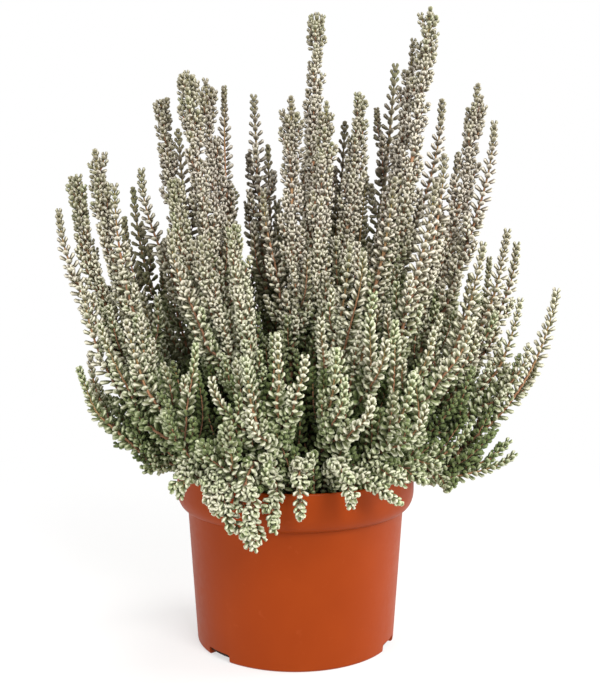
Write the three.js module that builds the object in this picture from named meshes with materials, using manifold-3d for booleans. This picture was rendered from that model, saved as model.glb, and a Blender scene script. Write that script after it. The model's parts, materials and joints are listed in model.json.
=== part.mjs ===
// A potted heather: a bush of upright leafy stems, rooted in peat in a round nursery pot.
// Units are millimetres and +Z is up. The origin is the middle of the pot's flat underside.
// The plant's front faces -Y.

import * as THREE from 'three';
import { mergeVertices } from 'three/addons/utils/BufferGeometryUtils.js';
import Module from 'manifold-3d';

const wasm = await Module();
wasm.setup();

// The pot: a tapered thin wall, a flat floor and a taller, wider collar at the top
const POT_HEIGHT = 80.7;
const RIM_RADIUS = 55;
const FOOT_RADIUS = 46.1;
const FOOT_ROUNDING = 1.2;
const NECK_RADIUS = 50.1;
const NECK_HEIGHT = 63.2;
const COLLAR_CURVE_HEIGHT = 7.8;
const COLLAR_CURVE_STEPS = 3;
const WALL = 1.2;
const FLOOR = 1.6;
const LIP = 0.8;
const POT_SIDES = 32;

// The drain slots: notches in the foot, open to the outside and to the inside of the pot
const SLOT_BEARINGS = [-48, 68, 188];
const SLOT_WIDTH = 14.4;
const SLOT_HEIGHT = 3.7;
const SLOT_DEPTH = 9;

// The peat, which fills the pot to a little below its rim
const PEAT_EDGE_HEIGHT = 70;
const PEAT_TOP_HEIGHT = 74;
const PEAT_CLEARANCE = 0.55;
const PEAT_RIM_CLEARANCE = 2.1;
const PEAT_LUMP = 0.8;
const PEAT_LUMP_LENGTH = 9;
const PEAT_SIDES = 18;
const PEAT_RINGS = 3;

// The stems' feet, which stand in plain holes in the peat
const STEM_RADIUS = 1.3;
const FOOT_DEPTH = 8;
const FOOT_NECK = 1.5;
const HOLE_CLEARANCE = 0.45;
const HOLE_BOTTOM_GAP = 0.3;
const HOLE_RISE = 2.8;
const ROOT_CIRCLE_RADIUS = 42;
const ROOT_RISE = 2;
const ROOT_TURN = 2.4;

// The bush's outline: its reach at the peat, its reach far above it, and how soon it widens
const OUTLINE_BASE_RADIUS = 45;
const OUTLINE_TOP_RADIUS = 115;
const OUTLINE_RISE = 24;
const OUTLINE_DEPTH_SHARE = 0.85;

// The leaves: opposite pairs, each pair turned a quarter from the last, so four rows in all.
// Each drawn pair stands for about five real ones, so the pairs lie further apart than they grow.
const BROAD_PITCH = 9.2;
const SLIM_PITCH = 7.8;
const LEAF_LIFT = 3.2;
const BROAD_REACH = 5;
const BROAD_CORE = 2;
const SLIM_REACH = 3.7;
const SLIM_CORE = 1.3;
const TIP_LENGTH = 2.4;
const BARE_STEM_LENGTH = 10;
const BARE_FORK_LENGTH = 6;
const LEAF_RAMP_LENGTH = 16;
const BROAD_TAPER_LENGTH = 34;
const SLIM_TAPER_LENGTH = 14;
const TAPER_SHARE = 0.62;
const RAMP_SHARE = 0.6;
const FORK_THICKNESS_SHARE = 0.8;

// The routes. A stem from the middle runs straight up. One from the edge of the pot leans
// out low down and then turns up. Each pair gives the middle's share, then the edge's.
const ROUTE_POINTS = 24;
const LOW_OUT = [0.12, 0.43];
const LOW_UP = [0.34, 0.08];
const HIGH_OUT = [0.66, 0.9];
const HIGH_UP = [0.7, 0.36];
const TRAILING_ARCH = 22;
const TRAILING_SHOULDER = 16;
const FORK_SHARE = 0.35;
const FIRST_FORK_POINT = 4;

// How the shoots are bent clear of each other, of the rim and of the peat
const BEND_TURNS = 240;
const CLEARANCE = 1;
const RIM_CLEARANCE = 4.2;
const STIFF_LENGTH = 18;
const STEP_SHARE = 0.55;
const LEAST_GAP = 0.1;

// The stems, by the place of each one's top, then of the shoots that fork from it.
// Broad shoots have short side twigs pressed to them. A trailing one hangs over the rim.
const STEMS = [
  // Low stems at the front
  { top: [-7, -64, 148], forks: [[-18, -74, 119], [4, -68, 140]] },
  { top: [17, -60, 142], forks: [[20, -68, 131], [30, -74, 124]] },
  { top: [33, -40, 164], forks: [[37, -56, 145], [42, -43, 152]] },
  { top: [48, -60, 132], forks: [[52, -67, 120]] },
  { top: [-20, -60, 138], forks: [[-34, -54, 129]] },
  { top: [-28, -72, 113], forks: [[-38, -64, 105]] },
  { top: [-17, -70, 60], trailing: true, forks: [[-8, -68, 66]] },
  { top: [-55, -48, 114], forks: [[-42, -42, 142]] },
  { top: [-44, -54, 76], trailing: true, forks: [[-31, -63, 73]] },
  { top: [2, -65, 71], trailing: true, forks: [] },
  { top: [21, -64, 75], trailing: true, forks: [[38, -58, 75]] },
  { top: [59, -40, 149], forks: [[74, -42, 153]] },
  // Stems between the front and the middle
  { top: [-26, -34, 192], broad: true, forks: [] },
  { top: [-41, -26, 187], broad: true, forks: [[-54, -26, 190]] },
  { top: [-54, -10, 212], broad: true, forks: [] },
  { top: [-73, -31, 151], forks: [[-68, -20, 151]] },
  { top: [-86, -22, 149], forks: [[-94, -15, 165]] },
  { top: [24, -25, 184], forks: [[29, -34, 180], [11, -40, 153]] },
  { top: [44, -14, 213], forks: [] },
  { top: [61, -22, 211], forks: [[66, -11, 223]] },
  { top: [83, -17, 184], forks: [] },
  // The left edge
  { top: [-98, -10, 128], forks: [[-95, 1, 134], [-68, -14, 84]] },
  { top: [-100, 0, 214], broad: true, forks: [[-106, -8, 199]] },
  { top: [-90, -5, 226], broad: true, forks: [[-80, -13, 210]] },
  { top: [-94, 14, 169], forks: [[-90, 10, 113]] },
  { top: [-81, 45, 211], forks: [[-84, 36, 196]] },
  // The tall stems in the middle
  { top: [-62, 14, 250], broad: true, forks: [[-71, 6, 218]] },
  { top: [-59, 52, 240], forks: [] },
  { top: [-49, 0, 261], broad: true, forks: [] },
  { top: [-42, 17, 260], broad: true, forks: [[-34, 27, 258]] },
  { top: [-20, 28, 254], broad: true, forks: [] },
  { top: [-14, 50, 232], forks: [[-3, 57, 217]] },
  { top: [-2, 0, 250], broad: true, forks: [[-15, 8, 209]] },
  { top: [10, 22, 291], broad: true, forks: [] },
  { top: [14, -6, 247], broad: true, forks: [] },
  { top: [24, 38, 242], forks: [[31, 60, 227]] },
  { top: [30, 20, 254], broad: true, forks: [] },
  { top: [48, 34, 269], broad: true, forks: [] },
  { top: [54, 9, 277], broad: true, forks: [] },
  { top: [60, -4, 288], broad: true, forks: [[68, 14, 250]] },
  { top: [82, 56, 229], forks: [[70, 40, 215]] },
  // The right edge
  { top: [83, 4, 256], broad: true, forks: [[89, -5, 238]] },
  { top: [98, 6, 190], forks: [[93, 24, 177], [104, 14, 184]] },
  { top: [102, -7, 159], forks: [[104, -16, 139]] },
  { top: [119, -4, 163], forks: [[97, 12, 134]] },
  { top: [98, -20, 91], forks: [[67, -32, 80]] },
  // The back
  { top: [-70, 68, 176], forks: [[-88, 50, 150]] },
  { top: [-36, 74, 215], broad: true, forks: [[-42, 88, 166], [-20, 70, 196]] },
  { top: [-10, 86, 178], forks: [[12, 92, 150]] },
  { top: [12, 72, 206], broad: true, forks: [[34, 62, 222]] },
  { top: [56, 72, 202], broad: true, forks: [[36, 84, 172]] },
  { top: [88, 48, 168], forks: [[66, 76, 148]] },
  { top: [-24, 90, 128], forks: [[-42, 84, 122], [-8, 93, 116]] },
  { top: [32, 92, 128], forks: [[16, 88, 114], [48, 84, 122]] },
  { top: [-71, 58, 130], forks: [[-84, 42, 120], [-58, 70, 134]] },
  { top: [90, 30, 126], forks: [[82, 44, 118], [98, 21, 138]] },
  { top: [-24, 64, 74], trailing: true, forks: [[26, 63, 76]] },
  { top: [-44, 50, 150], forks: [[-30, 44, 170], [-56, 40, 168]] },
];

// The skirt: one short low twig on each stem rooted near the pot's wall, over the rim
const SKIRT_ROOT_RADIUS = 31;
const SKIRT_RADIUS = 66;
const SKIRT_HEIGHTS = [90, 101, 95];
const SKIRT_TURN = 7;
const SKIRT_POINT = 3;

// Colours and finishes
const PLASTIC = { color: 0xb4502d, roughness: 0.45, metalness: 0 };
const PEAT = { color: 0x33251c, roughness: 1, metalness: 0 };
const FOLIAGE = { color: 0x8f987f, roughness: 0.85, metalness: 0 };

const UP = new THREE.Vector3(0, 0, 1);

// A solid from a closed three.js geometry
function solidFromGeometry(geometry) {
  const bare = geometry.clone();
  bare.deleteAttribute('normal');
  bare.deleteAttribute('uv');
  const merged = mergeVertices(bare, 0.001);
  return solidFromMesh(merged.attributes.position.array, merged.index.array);
}

// A solid from flat lists of vertex places and of triangle corners
function solidFromMesh(vertices, triangles) {
  return new wasm.Manifold(new wasm.Mesh({
    numProp: 3,
    vertProperties: new Float32Array(vertices),
    triVerts: new Uint32Array(triangles),
  }));
}

// A joined solid without the tiny sealed hollows and scraps that crossing leaves leave behind
function largestBody(solid) {
  return solid.decompose().reduce((a, b) => (b.volume() > a.volume() ? b : a));
}

// A named mesh from a solid
function piece(name, solid, finish) {
  const { vertProperties, triVerts } = solid.getMesh();
  const geometry = new THREE.BufferGeometry();
  geometry.setAttribute('position', new THREE.BufferAttribute(vertProperties, 3));
  geometry.setIndex(new THREE.BufferAttribute(triVerts, 1));
  geometry.computeVertexNormals();
  const mesh = new THREE.Mesh(geometry, new THREE.MeshStandardMaterial(finish));
  mesh.name = name;
  return mesh;
}

// A solid of revolution about Z, from [radius, height] pairs that start and end on the axis
function turned(outline, sides) {
  const points = outline.map(([radius, height]) => new THREE.Vector2(radius, height));
  return new THREE.LatheGeometry(points, sides).rotateX(Math.PI / 2);
}

// The collar's lower edge: a quarter ellipse from the neck out to the collar's own radius
function collarCurve(neckRadius, collarRadius, bottom) {
  const curve = [];
  for (let step = 0; step <= COLLAR_CURVE_STEPS; step += 1) {
    const angle = (Math.PI / 2) * (step / COLLAR_CURVE_STEPS);
    const radius = neckRadius + (collarRadius - neckRadius) * Math.sin(angle);
    curve.push([radius, bottom + COLLAR_CURVE_HEIGHT * (1 - Math.cos(angle))]);
  }
  return curve;
}

// The pot: a turned shell with its drain slots cut out
function makePot() {
  const outside = [
    [0, 0],
    [FOOT_RADIUS - FOOT_ROUNDING, 0],
    [FOOT_RADIUS, FOOT_ROUNDING],
    ...collarCurve(NECK_RADIUS, RIM_RADIUS, NECK_HEIGHT),
    [RIM_RADIUS, POT_HEIGHT - LIP],
    [RIM_RADIUS - LIP / 2, POT_HEIGHT],
  ];
  const inside = [
    [0, FLOOR],
    [FOOT_RADIUS - WALL, FLOOR],
    ...collarCurve(NECK_RADIUS - WALL, RIM_RADIUS - 2 * LIP, NECK_HEIGHT + WALL),
    [RIM_RADIUS - 2 * LIP, POT_HEIGHT - LIP],
    [RIM_RADIUS - 1.5 * LIP, POT_HEIGHT],
  ];
  let pot = solidFromGeometry(turned([...outside, ...inside.reverse()], POT_SIDES));
  for (const bearing of SLOT_BEARINGS) {
    const angle = THREE.MathUtils.degToRad(bearing - 90);
    const slot = new THREE.BoxGeometry(SLOT_DEPTH, SLOT_WIDTH, 2 * SLOT_HEIGHT);
    slot.translate(FOOT_RADIUS, 0, 0).rotateZ(angle);
    pot = pot.subtract(solidFromGeometry(slot));
  }
  return pot;
}

// The peat's surface: a low mound with soft lumps
function peatHeight(x, y) {
  const share = Math.hypot(x, y) / RIM_RADIUS;
  const mound = THREE.MathUtils.lerp(PEAT_TOP_HEIGHT, PEAT_EDGE_HEIGHT, share * share);
  const wave = (2 * Math.PI) / PEAT_LUMP_LENGTH;
  return mound + PEAT_LUMP * Math.sin(wave * x) * Math.cos(wave * y);
}

// The peat: it follows the inside of the pot, a small gap off it, under a lumpy surface
function makePeat() {
  const neckRadius = NECK_RADIUS - WALL - PEAT_CLEARANCE;
  const rimRadius = RIM_RADIUS - 2 * LIP - PEAT_CLEARANCE - PEAT_RIM_CLEARANCE;
  const outline = [
    [0, FLOOR + PEAT_CLEARANCE],
    [FOOT_RADIUS - WALL - PEAT_CLEARANCE, FLOOR + PEAT_CLEARANCE],
    [neckRadius, NECK_HEIGHT + WALL],
  ];
  const topStart = outline.length;
  for (let ring = PEAT_RINGS; ring >= 0; ring -= 1) {
    outline.push([(rimRadius * ring) / PEAT_RINGS, PEAT_EDGE_HEIGHT]);
  }
  const geometry = turned(outline, PEAT_SIDES);
  const position = geometry.attributes.position;
  const perTurn = outline.length;
  for (let i = 0; i < position.count; i += 1) {
    if (i % perTurn > topStart) {
      position.setZ(i, peatHeight(position.getX(i), position.getY(i)));
    }
  }
  return solidFromGeometry(geometry);
}

// How far the bush's outline stands from its axis at a height
function outlineRadius(height) {
  const rise = Math.max(0, height - PEAT_EDGE_HEIGHT) / OUTLINE_RISE;
  return THREE.MathUtils.lerp(OUTLINE_TOP_RADIUS, OUTLINE_BASE_RADIUS, Math.exp(-rise));
}

// Where a stem is rooted: its top's place in the outline, brought down to the peat
function rootOf(top) {
  const radius = outlineRadius(top.z);
  const root = new THREE.Vector3(top.x / radius, top.y / (radius * OUTLINE_DEPTH_SHARE), 0);
  root.multiplyScalar(ROOT_CIRCLE_RADIUS).clampLength(0, ROOT_CIRCLE_RADIUS);
  root.z = PEAT_TOP_HEIGHT + ROOT_RISE;
  return root;
}

// A stem's route. A trailing one arches over the rim.
function stemRoute(top, trailing) {
  const { lerp } = THREE.MathUtils;
  const root = rootOf(top);
  const out = Math.hypot(root.x, root.y) / ROOT_CIRCLE_RADIUS;
  const low = root.clone().lerp(top, lerp(...LOW_OUT, out));
  const high = root.clone().lerp(top, lerp(...HIGH_OUT, out));
  low.z = lerp(root.z, top.z, lerp(...LOW_UP, out));
  high.z = lerp(root.z, top.z, lerp(...HIGH_UP, out));
  if (trailing) {
    low.z = POT_HEIGHT + TRAILING_ARCH;
    high.copy(top).setZ(POT_HEIGHT + TRAILING_SHOULDER);
  }
  return new THREE.CubicBezierCurve3(root, low, high, top).getPoints(ROUTE_POINTS - 1);
}

// A fork's route: off along the stem that it leaves, then bending up to its own top
function forkRoute(stem, at, top) {
  const start = stem.points[at];
  const ahead = stem.points[at + 1].clone().sub(start).normalize();
  const reach = start.distanceTo(top) * FORK_SHARE;
  const low = start.clone().addScaledVector(ahead, reach);
  const fall = top.z < start.z ? -1 : 1;
  const high = top.clone().addScaledVector(UP, -reach * fall);
  return new THREE.CubicBezierCurve3(start, low, high, top).getPoints(ROUTE_POINTS - 1);
}

// The reach of the leaves at a distance along a shoot, zero where it is bare
function leafReach(shoot, along) {
  const { MathUtils } = THREE;
  const ramp = MathUtils.smoothstep(along, shoot.bare, shoot.bare + LEAF_RAMP_LENGTH);
  const taper = MathUtils.smoothstep(shoot.length - along, 0, shoot.taper);
  const share = MathUtils.lerp(RAMP_SHARE, 1, ramp) * MathUtils.lerp(TAPER_SHARE, 1, taper);
  return along < shoot.bare ? 0 : shoot.reach * share;
}

// A shoot's length, and how far along it each point of its route is
function measure(shoot) {
  shoot.along = [0];
  for (let i = 1; i < ROUTE_POINTS; i += 1) {
    shoot.along.push(shoot.along[i - 1] + shoot.points[i].distanceTo(shoot.points[i - 1]));
  }
  shoot.length = shoot.along[ROUTE_POINTS - 1];
}

// A shoot on a route. A fork also has the stem that it leaves, and the point where it does.
function makeShoot(points, broad, parent, at) {
  const shoot = {
    points,
    parent,
    at,
    reach: broad ? BROAD_REACH : SLIM_REACH,
    core: broad ? BROAD_CORE : SLIM_CORE,
    pitch: broad ? BROAD_PITCH : SLIM_PITCH,
    taper: broad ? BROAD_TAPER_LENGTH : SLIM_TAPER_LENGTH,
    bare: parent ? BARE_FORK_LENGTH : BARE_STEM_LENGTH,
  };
  measure(shoot);
  return shoot;
}

// The stem's point, counted along its route, that a fork with this top leaves from
function forkPoint(stem, top) {
  const root = stem.points[0];
  const rise = Math.max(top.z - root.z, 0) * FORK_SHARE;
  const found = stem.points.findIndex((point) => point.z - root.z >= rise);
  return THREE.MathUtils.clamp(found, FIRST_FORK_POINT, ROUTE_POINTS / 2);
}

// The top of a stem's skirt twig, to one side of its root's bearing and then to the other
function skirtTop(root, count) {
  const turn = THREE.MathUtils.degToRad(count % 2 ? SKIRT_TURN : -SKIRT_TURN);
  const bearing = Math.atan2(root.y, root.x) + turn;
  const height = SKIRT_HEIGHTS[count % SKIRT_HEIGHTS.length];
  const radius = SKIRT_RADIUS;
  return new THREE.Vector3(radius * Math.cos(bearing), radius * Math.sin(bearing), height);
}

// Every stem's shoots, the stem itself first
function planShoots() {
  const plans = [];
  for (const { top, broad, trailing, forks } of STEMS) {
    const end = new THREE.Vector3(...top);
    const stem = makeShoot(stemRoute(end, trailing), broad, null, 0);
    const shoots = [stem];
    for (const fork of forks) {
      const forkEnd = new THREE.Vector3(...fork);
      const at = forkPoint(stem, forkEnd);
      shoots.push(makeShoot(forkRoute(stem, at, forkEnd), false, stem, at));
    }
    const root = stem.points[0];
    if (!trailing && Math.hypot(root.x, root.y) > SKIRT_ROOT_RADIUS) {
      const twigEnd = skirtTop(root, plans.length);
      const route = forkRoute(stem, SKIRT_POINT, twigEnd);
      shoots.push(makeShoot(route, false, stem, SKIRT_POINT));
    }
    plans.push(shoots);
  }
  return plans;
}

// The clear radius that a shoot needs round one of its points
function roomAt(shoot, i) {
  return Math.max(leafReach(shoot, shoot.along[i]), STEM_RADIUS);
}

// Adds to two shoots' pushes wherever the shoots come closer than their leaves reach
function pushApart(a, b) {
  if (!a.bounds.intersectsBox(b.bounds)) {
    return;
  }
  const kin = a.parent === b || b.parent === a || (a.parent && a.parent === b.parent);
  const step = STEP_SHARE * Math.max(a.length, b.length) / (ROUTE_POINTS - 1);
  const gap = new THREE.Vector3();
  for (let i = 1; i < ROUTE_POINTS; i += 1) {
    for (let j = 1; j < ROUTE_POINTS; j += 1) {
      gap.subVectors(a.points[i], b.points[j]);
      const along = gap.dot(a.ahead[i]);
      const want = a.room[i] + b.room[j] + CLEARANCE;
      if (Math.abs(along) > step || gap.lengthSq() > want * want + step * step) {
        continue;
      }
      if (kin && Math.min(a.free[i], b.free[j]) < 1) {
        continue;
      }
      gap.addScaledVector(a.ahead[i], -along);
      const apart = gap.length();
      if (apart < want) {
        gap.multiplyScalar((want - apart) / (2 * Math.max(apart, LEAST_GAP)));
        a.push[i].add(gap);
        b.push[j].sub(gap);
      }
    }
  }
}

// Keeps a point off the pot's rim, and over the peat
function clearPot(point, room) {
  const radius = Math.hypot(point.x, point.y);
  const wall = RIM_RADIUS - LIP;
  const want = room + RIM_CLEARANCE;
  const fromWall = Math.abs(radius - wall);
  if (fromWall < want) {
    const over = Math.sqrt(want * want - fromWall * fromWall);
    point.z = Math.max(point.z, POT_HEIGHT - LIP + over);
  }
  if (radius < wall) {
    point.z = Math.max(point.z, peatHeight(point.x, point.y) + PEAT_LUMP + room);
  }
}

// Bends the shoots clear of each other. Roots stay where they are and tops move little.
function bendClear(shoots) {
  for (let turn = 0; turn < BEND_TURNS; turn += 1) {
    for (const shoot of shoots) {
      measure(shoot);
      shoot.push = shoot.points.map(() => new THREE.Vector3());
      shoot.room = shoot.points.map((point, i) => roomAt(shoot, i));
      shoot.bounds = new THREE.Box3().setFromPoints(shoot.points).expandByScalar(BROAD_REACH);
      shoot.free = shoot.along.map((along) => Math.min(1, along / STIFF_LENGTH));
      shoot.ahead = shoot.points.map((point, i) => {
        const next = shoot.points[Math.min(i + 1, ROUTE_POINTS - 1)];
        return next.clone().sub(shoot.points[Math.max(i - 1, 0)]).normalize();
      });
    }
    for (let a = 0; a < shoots.length; a += 1) {
      for (let b = a + 1; b < shoots.length; b += 1) {
        pushApart(shoots[a], shoots[b]);
      }
    }
    for (const shoot of shoots) {
      moveByPush(shoot);
    }
  }
}

// Moves a shoot by half of its smoothed push. Near its start it goes with its stem.
function moveByPush(shoot) {
  const last = ROUTE_POINTS - 1;
  const carried = shoot.parent ? shoot.parent.moved[shoot.at] : new THREE.Vector3();
  shoot.moved = shoot.points.map((point, i) => {
    const before = shoot.push[Math.max(i - 1, 0)];
    const after = shoot.push[Math.min(i + 1, last)];
    const mean = shoot.push[i].clone().multiplyScalar(2).add(before).add(after).divideScalar(4);
    const free = shoot.free[i];
    return mean.multiplyScalar(free / 2).addScaledVector(carried, 1 - free);
  });
  for (let i = 1; i <= last; i += 1) {
    const start = shoot.points[i].clone();
    shoot.points[i].add(shoot.moved[i]);
    clearPot(shoot.points[i], shoot.room[i]);
    shoot.moved[i].subVectors(shoot.points[i], start);
  }
  if (shoot.parent) {
    shoot.points[0].copy(shoot.parent.points[shoot.at]);
  }
}

// A ring of four corners round a place on a shoot
function ringAt(place, reaches, lifts) {
  return reaches.map((reach, k) => {
    const angle = (Math.PI / 2) * k;
    return place.point.clone()
      .addScaledVector(place.side, reach * Math.cos(angle))
      .addScaledVector(place.front, reach * Math.sin(angle))
      .addScaledVector(place.ahead, lifts[k]);
  });
}

// A closed solid through rings of four corners, with a peak where one is given.
// Each face between two rings is folded along its two inner corners, so that every
// outer corner is the point of a leaf of its own.
function loft(rings, outerAt, peak) {
  const vertices = rings.flat().flatMap((corner) => corner.toArray());
  const triangles = [0, 2, 1, 0, 3, 2];
  for (let level = 0; level + 1 < rings.length; level += 1) {
    for (let k = 0; k < 4; k += 1) {
      const a = 4 * level + k;
      const b = 4 * level + ((k + 1) % 4);
      const c = b + 4;
      const d = a + 4;
      if (outerAt(level, k)) {
        triangles.push(a, b, d, b, c, d);
      } else {
        triangles.push(a, b, c, a, c, d);
      }
    }
  }
  const top = 4 * (rings.length - 1);
  if (peak) {
    vertices.push(...peak.toArray());
    for (let k = 0; k < 4; k += 1) {
      triangles.push(top + k, top + ((k + 1) % 4), top + 4);
    }
  } else {
    triangles.push(top, top + 1, top + 2, top, top + 2, top + 3);
  }
  return solidFromMesh(vertices, triangles);
}

// The places along a shoot where its rings stand, with axes that don't twist
function placesAlong(curve, shoot, stops, twist) {
  const side = new THREE.Vector3(Math.cos(twist), Math.sin(twist), 0);
  return stops.map((stop) => {
    const share = THREE.MathUtils.clamp(stop / shoot.length, 0, 1);
    const point = curve.getPointAt(share);
    const ahead = curve.getTangentAt(share);
    side.addScaledVector(ahead, -side.dot(ahead)).normalize();
    const front = ahead.clone().cross(side);
    return { point, ahead, side: side.clone(), front, stop };
  });
}

// The foot's turn about Z, so that its corners match those of its hole
function twistOf(number) {
  return number * ROOT_TURN;
}

// The route that a shoot's rings follow. A fork's starts at the nearest ring of its stem.
function ringCurve(shoot) {
  if (!shoot.parent) {
    return new THREE.CatmullRomCurve3(shoot.points);
  }
  const gaps = shoot.parent.places.map(({ point }) => point.distanceTo(shoot.points[0]));
  const nearest = shoot.parent.places[gaps.indexOf(Math.min(...gaps))];
  return new THREE.CatmullRomCurve3([nearest.point, ...shoot.points.slice(1)]);
}

// A shoot's solid: its foot if it is a stem, a bare length, then pairs of leaves to its tip
function leafyShoot(shoot, number) {
  const curve = ringCurve(shoot);
  const bareStops = shoot.parent ? [0] : [0, shoot.bare / 2];
  const leafy = shoot.length - shoot.bare - LEAF_LIFT;
  const pairs = Math.max(2, Math.round(leafy / shoot.pitch));
  const stops = [...bareStops];
  for (let pair = 1; pair <= pairs; pair += 1) {
    stops.push(shoot.bare + (leafy * pair) / pairs);
  }
  const places = placesAlong(curve, shoot, stops, twistOf(number));
  shoot.places = places;
  const thickness = STEM_RADIUS * (shoot.parent ? FORK_THICKNESS_SHARE : 1);
  const flat = [0, 0, 0, 0];
  const rings = [];
  if (!shoot.parent) {
    const heights = [-FOOT_DEPTH, -FOOT_NECK];
    rings.push(...uprightRings(shoot.points[0], number, thickness, heights));
  }
  const firstLeaf = rings.length + bareStops.length;
  const outerAt = (level, k) => level >= firstLeaf && (level + k) % 2 === 0;
  for (const place of places) {
    const level = rings.length;
    const reach = leafReach(shoot, place.stop);
    const core = shoot.core * (reach / shoot.reach);
    if (level < firstLeaf) {
      rings.push(ringAt(place, [thickness, thickness, thickness, thickness], flat));
    } else {
      const outer = flat.map((zero, k) => outerAt(level, k));
      const reaches = outer.map((isOuter) => (isOuter ? reach : core));
      rings.push(ringAt(place, reaches, outer.map((isOuter) => (isOuter ? LEAF_LIFT : 0))));
    }
  }
  const last = places[places.length - 1];
  const peak = last.point.clone().addScaledVector(last.ahead, LEAF_LIFT + TIP_LENGTH);
  return loft(rings, outerAt, peak);
}

// Level rings on the upright line through a root, at heights counted from the root
function uprightRings(root, number, radius, heights) {
  const twist = twistOf(number);
  const side = new THREE.Vector3(Math.cos(twist), Math.sin(twist), 0);
  const front = UP.clone().cross(side);
  const reaches = [radius, radius, radius, radius];
  return heights.map((height) => {
    const point = root.clone().addScaledVector(UP, height);
    return ringAt({ point, side, front, ahead: UP }, reaches, [0, 0, 0, 0]);
  });
}

// The cut for the plain hole that a stem's foot stands in
function stemHole(shoot, number) {
  const radius = STEM_RADIUS + HOLE_CLEARANCE;
  const heights = [-FOOT_DEPTH - HOLE_BOTTOM_GAP, HOLE_RISE];
  return loft(uprightRings(shoot.points[0], number, radius, heights), () => false, null);
}

const plans = planShoots();
bendClear(plans.flat());

const heather = new THREE.Group();
heather.add(piece('pot', makePot(), PLASTIC));

let peat = makePeat();
plans.forEach((shoots, number) => {
  peat = peat.subtract(stemHole(shoots[0], number));
});
heather.add(piece('peat', peat, PEAT));

plans.forEach((shoots, number) => {
  let stem = leafyShoot(shoots[0], number);
  shoots.slice(1).forEach((fork, count) => {
    stem = stem.add(leafyShoot(fork, number + count + 1));
  });
  const name = `stem_${String(number + 1).padStart(2, '0')}`;
  heather.add(piece(name, largestBody(stem), FOLIAGE));
});

export default heather;
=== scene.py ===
# %% [markdown]
# # A potted heather
# The plant is a fan of some sixty woody stems in a plastic nursery pot. Each stem is packed
# with tiny leaves in opposite pairs, so nearly everything here repeats. The places of the stems
# come from a short table and a few rules. Blender then grows the leaves along them.
#
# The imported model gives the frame. Everything below is in metres, in that frame, and the tables
# are in millimetres.

# %% The frame
import json
import math
from collections import namedtuple

import bmesh
import bpy
import numpy as np
from mathutils import Matrix, Vector, noise

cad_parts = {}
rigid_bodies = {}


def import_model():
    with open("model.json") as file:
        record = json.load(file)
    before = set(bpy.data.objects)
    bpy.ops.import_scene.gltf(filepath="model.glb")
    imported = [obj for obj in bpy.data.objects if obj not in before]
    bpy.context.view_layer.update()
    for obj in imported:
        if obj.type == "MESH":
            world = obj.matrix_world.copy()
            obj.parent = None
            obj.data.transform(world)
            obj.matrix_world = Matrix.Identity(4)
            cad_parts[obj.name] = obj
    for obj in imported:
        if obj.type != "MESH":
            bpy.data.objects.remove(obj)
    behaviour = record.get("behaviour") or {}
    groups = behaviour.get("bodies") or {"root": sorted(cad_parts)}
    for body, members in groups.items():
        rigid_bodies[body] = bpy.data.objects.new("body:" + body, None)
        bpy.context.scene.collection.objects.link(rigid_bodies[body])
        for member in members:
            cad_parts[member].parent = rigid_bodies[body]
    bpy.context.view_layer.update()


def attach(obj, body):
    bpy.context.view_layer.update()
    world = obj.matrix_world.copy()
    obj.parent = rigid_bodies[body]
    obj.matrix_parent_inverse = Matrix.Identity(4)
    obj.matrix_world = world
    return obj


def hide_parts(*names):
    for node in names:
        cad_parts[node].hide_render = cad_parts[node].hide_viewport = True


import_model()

MM = 0.001

# %% [markdown]
# ## Helpers for colours and nodes
# Colours are written as sRGB hex values, as a paint program shows them. Blender's sockets take
# linear light, so one function turns the one into the other. A second one adds a node and fills
# its inputs: with plain values, with the outputs of other nodes, or with a whole node, which
# stands for its first output.


# %% Colour and node helpers
def colour(code):
    """The linear RGBA of an sRGB hex colour."""
    channels = [int(code[i : i + 2], 16) / 255 for i in (1, 3, 5)]
    linear = [c / 12.92 if c <= 0.04045 else ((c + 0.055) / 1.055) ** 2.4 for c in channels]
    return (*linear, 1)


def add(tree, kind, inputs=None, **settings):
    """A new node with its settings, each input filled with a value or linked to an output."""
    node = tree.nodes.new(kind)
    stops = settings.pop("stops", ())
    for name, value in settings.items():
        setattr(node, name, value)
    if stops:
        elements = node.color_ramp.elements
        elements.remove(elements[1])
        elements[0].position = stops[0][0]
        elements[0].color = colour(stops[0][1])
        for position, code in stops[1:]:
            elements.new(position).color = colour(code)
    for socket, value in (inputs or {}).items():
        if isinstance(value, bpy.types.Node):
            value = value.outputs[0]
        if isinstance(value, bpy.types.NodeSocket):
            tree.links.new(value, node.inputs[socket])
        else:
            node.inputs[socket].default_value = value
    return node


def new_material(name):
    """An empty node material and its node tree."""
    material = bpy.data.materials.new(name)
    material.use_nodes = True
    material.node_tree.nodes.clear()
    return material, material.node_tree


def new_object(name, data):
    """A linked object at the origin, for a mesh, a lamp or a camera."""
    piece = bpy.data.objects.new(name, data)
    bpy.context.scene.collection.objects.link(piece)
    return piece


print("middle grey in linear light", round(colour("#808080")[0], 3))

# %% [markdown]
# ## The pot's plastic
# The pot is injection-moulded polypropylene, coloured through. A moulded skin is even and
# satin: it mirrors nothing sharply, and its highlights are wide and weak. The pigment is never
# mixed quite evenly, so the colour drifts a little over centimetres. The mould's spark-eroded
# face leaves a grain of about 0.2 mm. It is drawn at 0.6 mm, because the real one is too fine to
# show. Handling leaves dull, paler scuffs, so one noise drives both the colour and the roughness.

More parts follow.
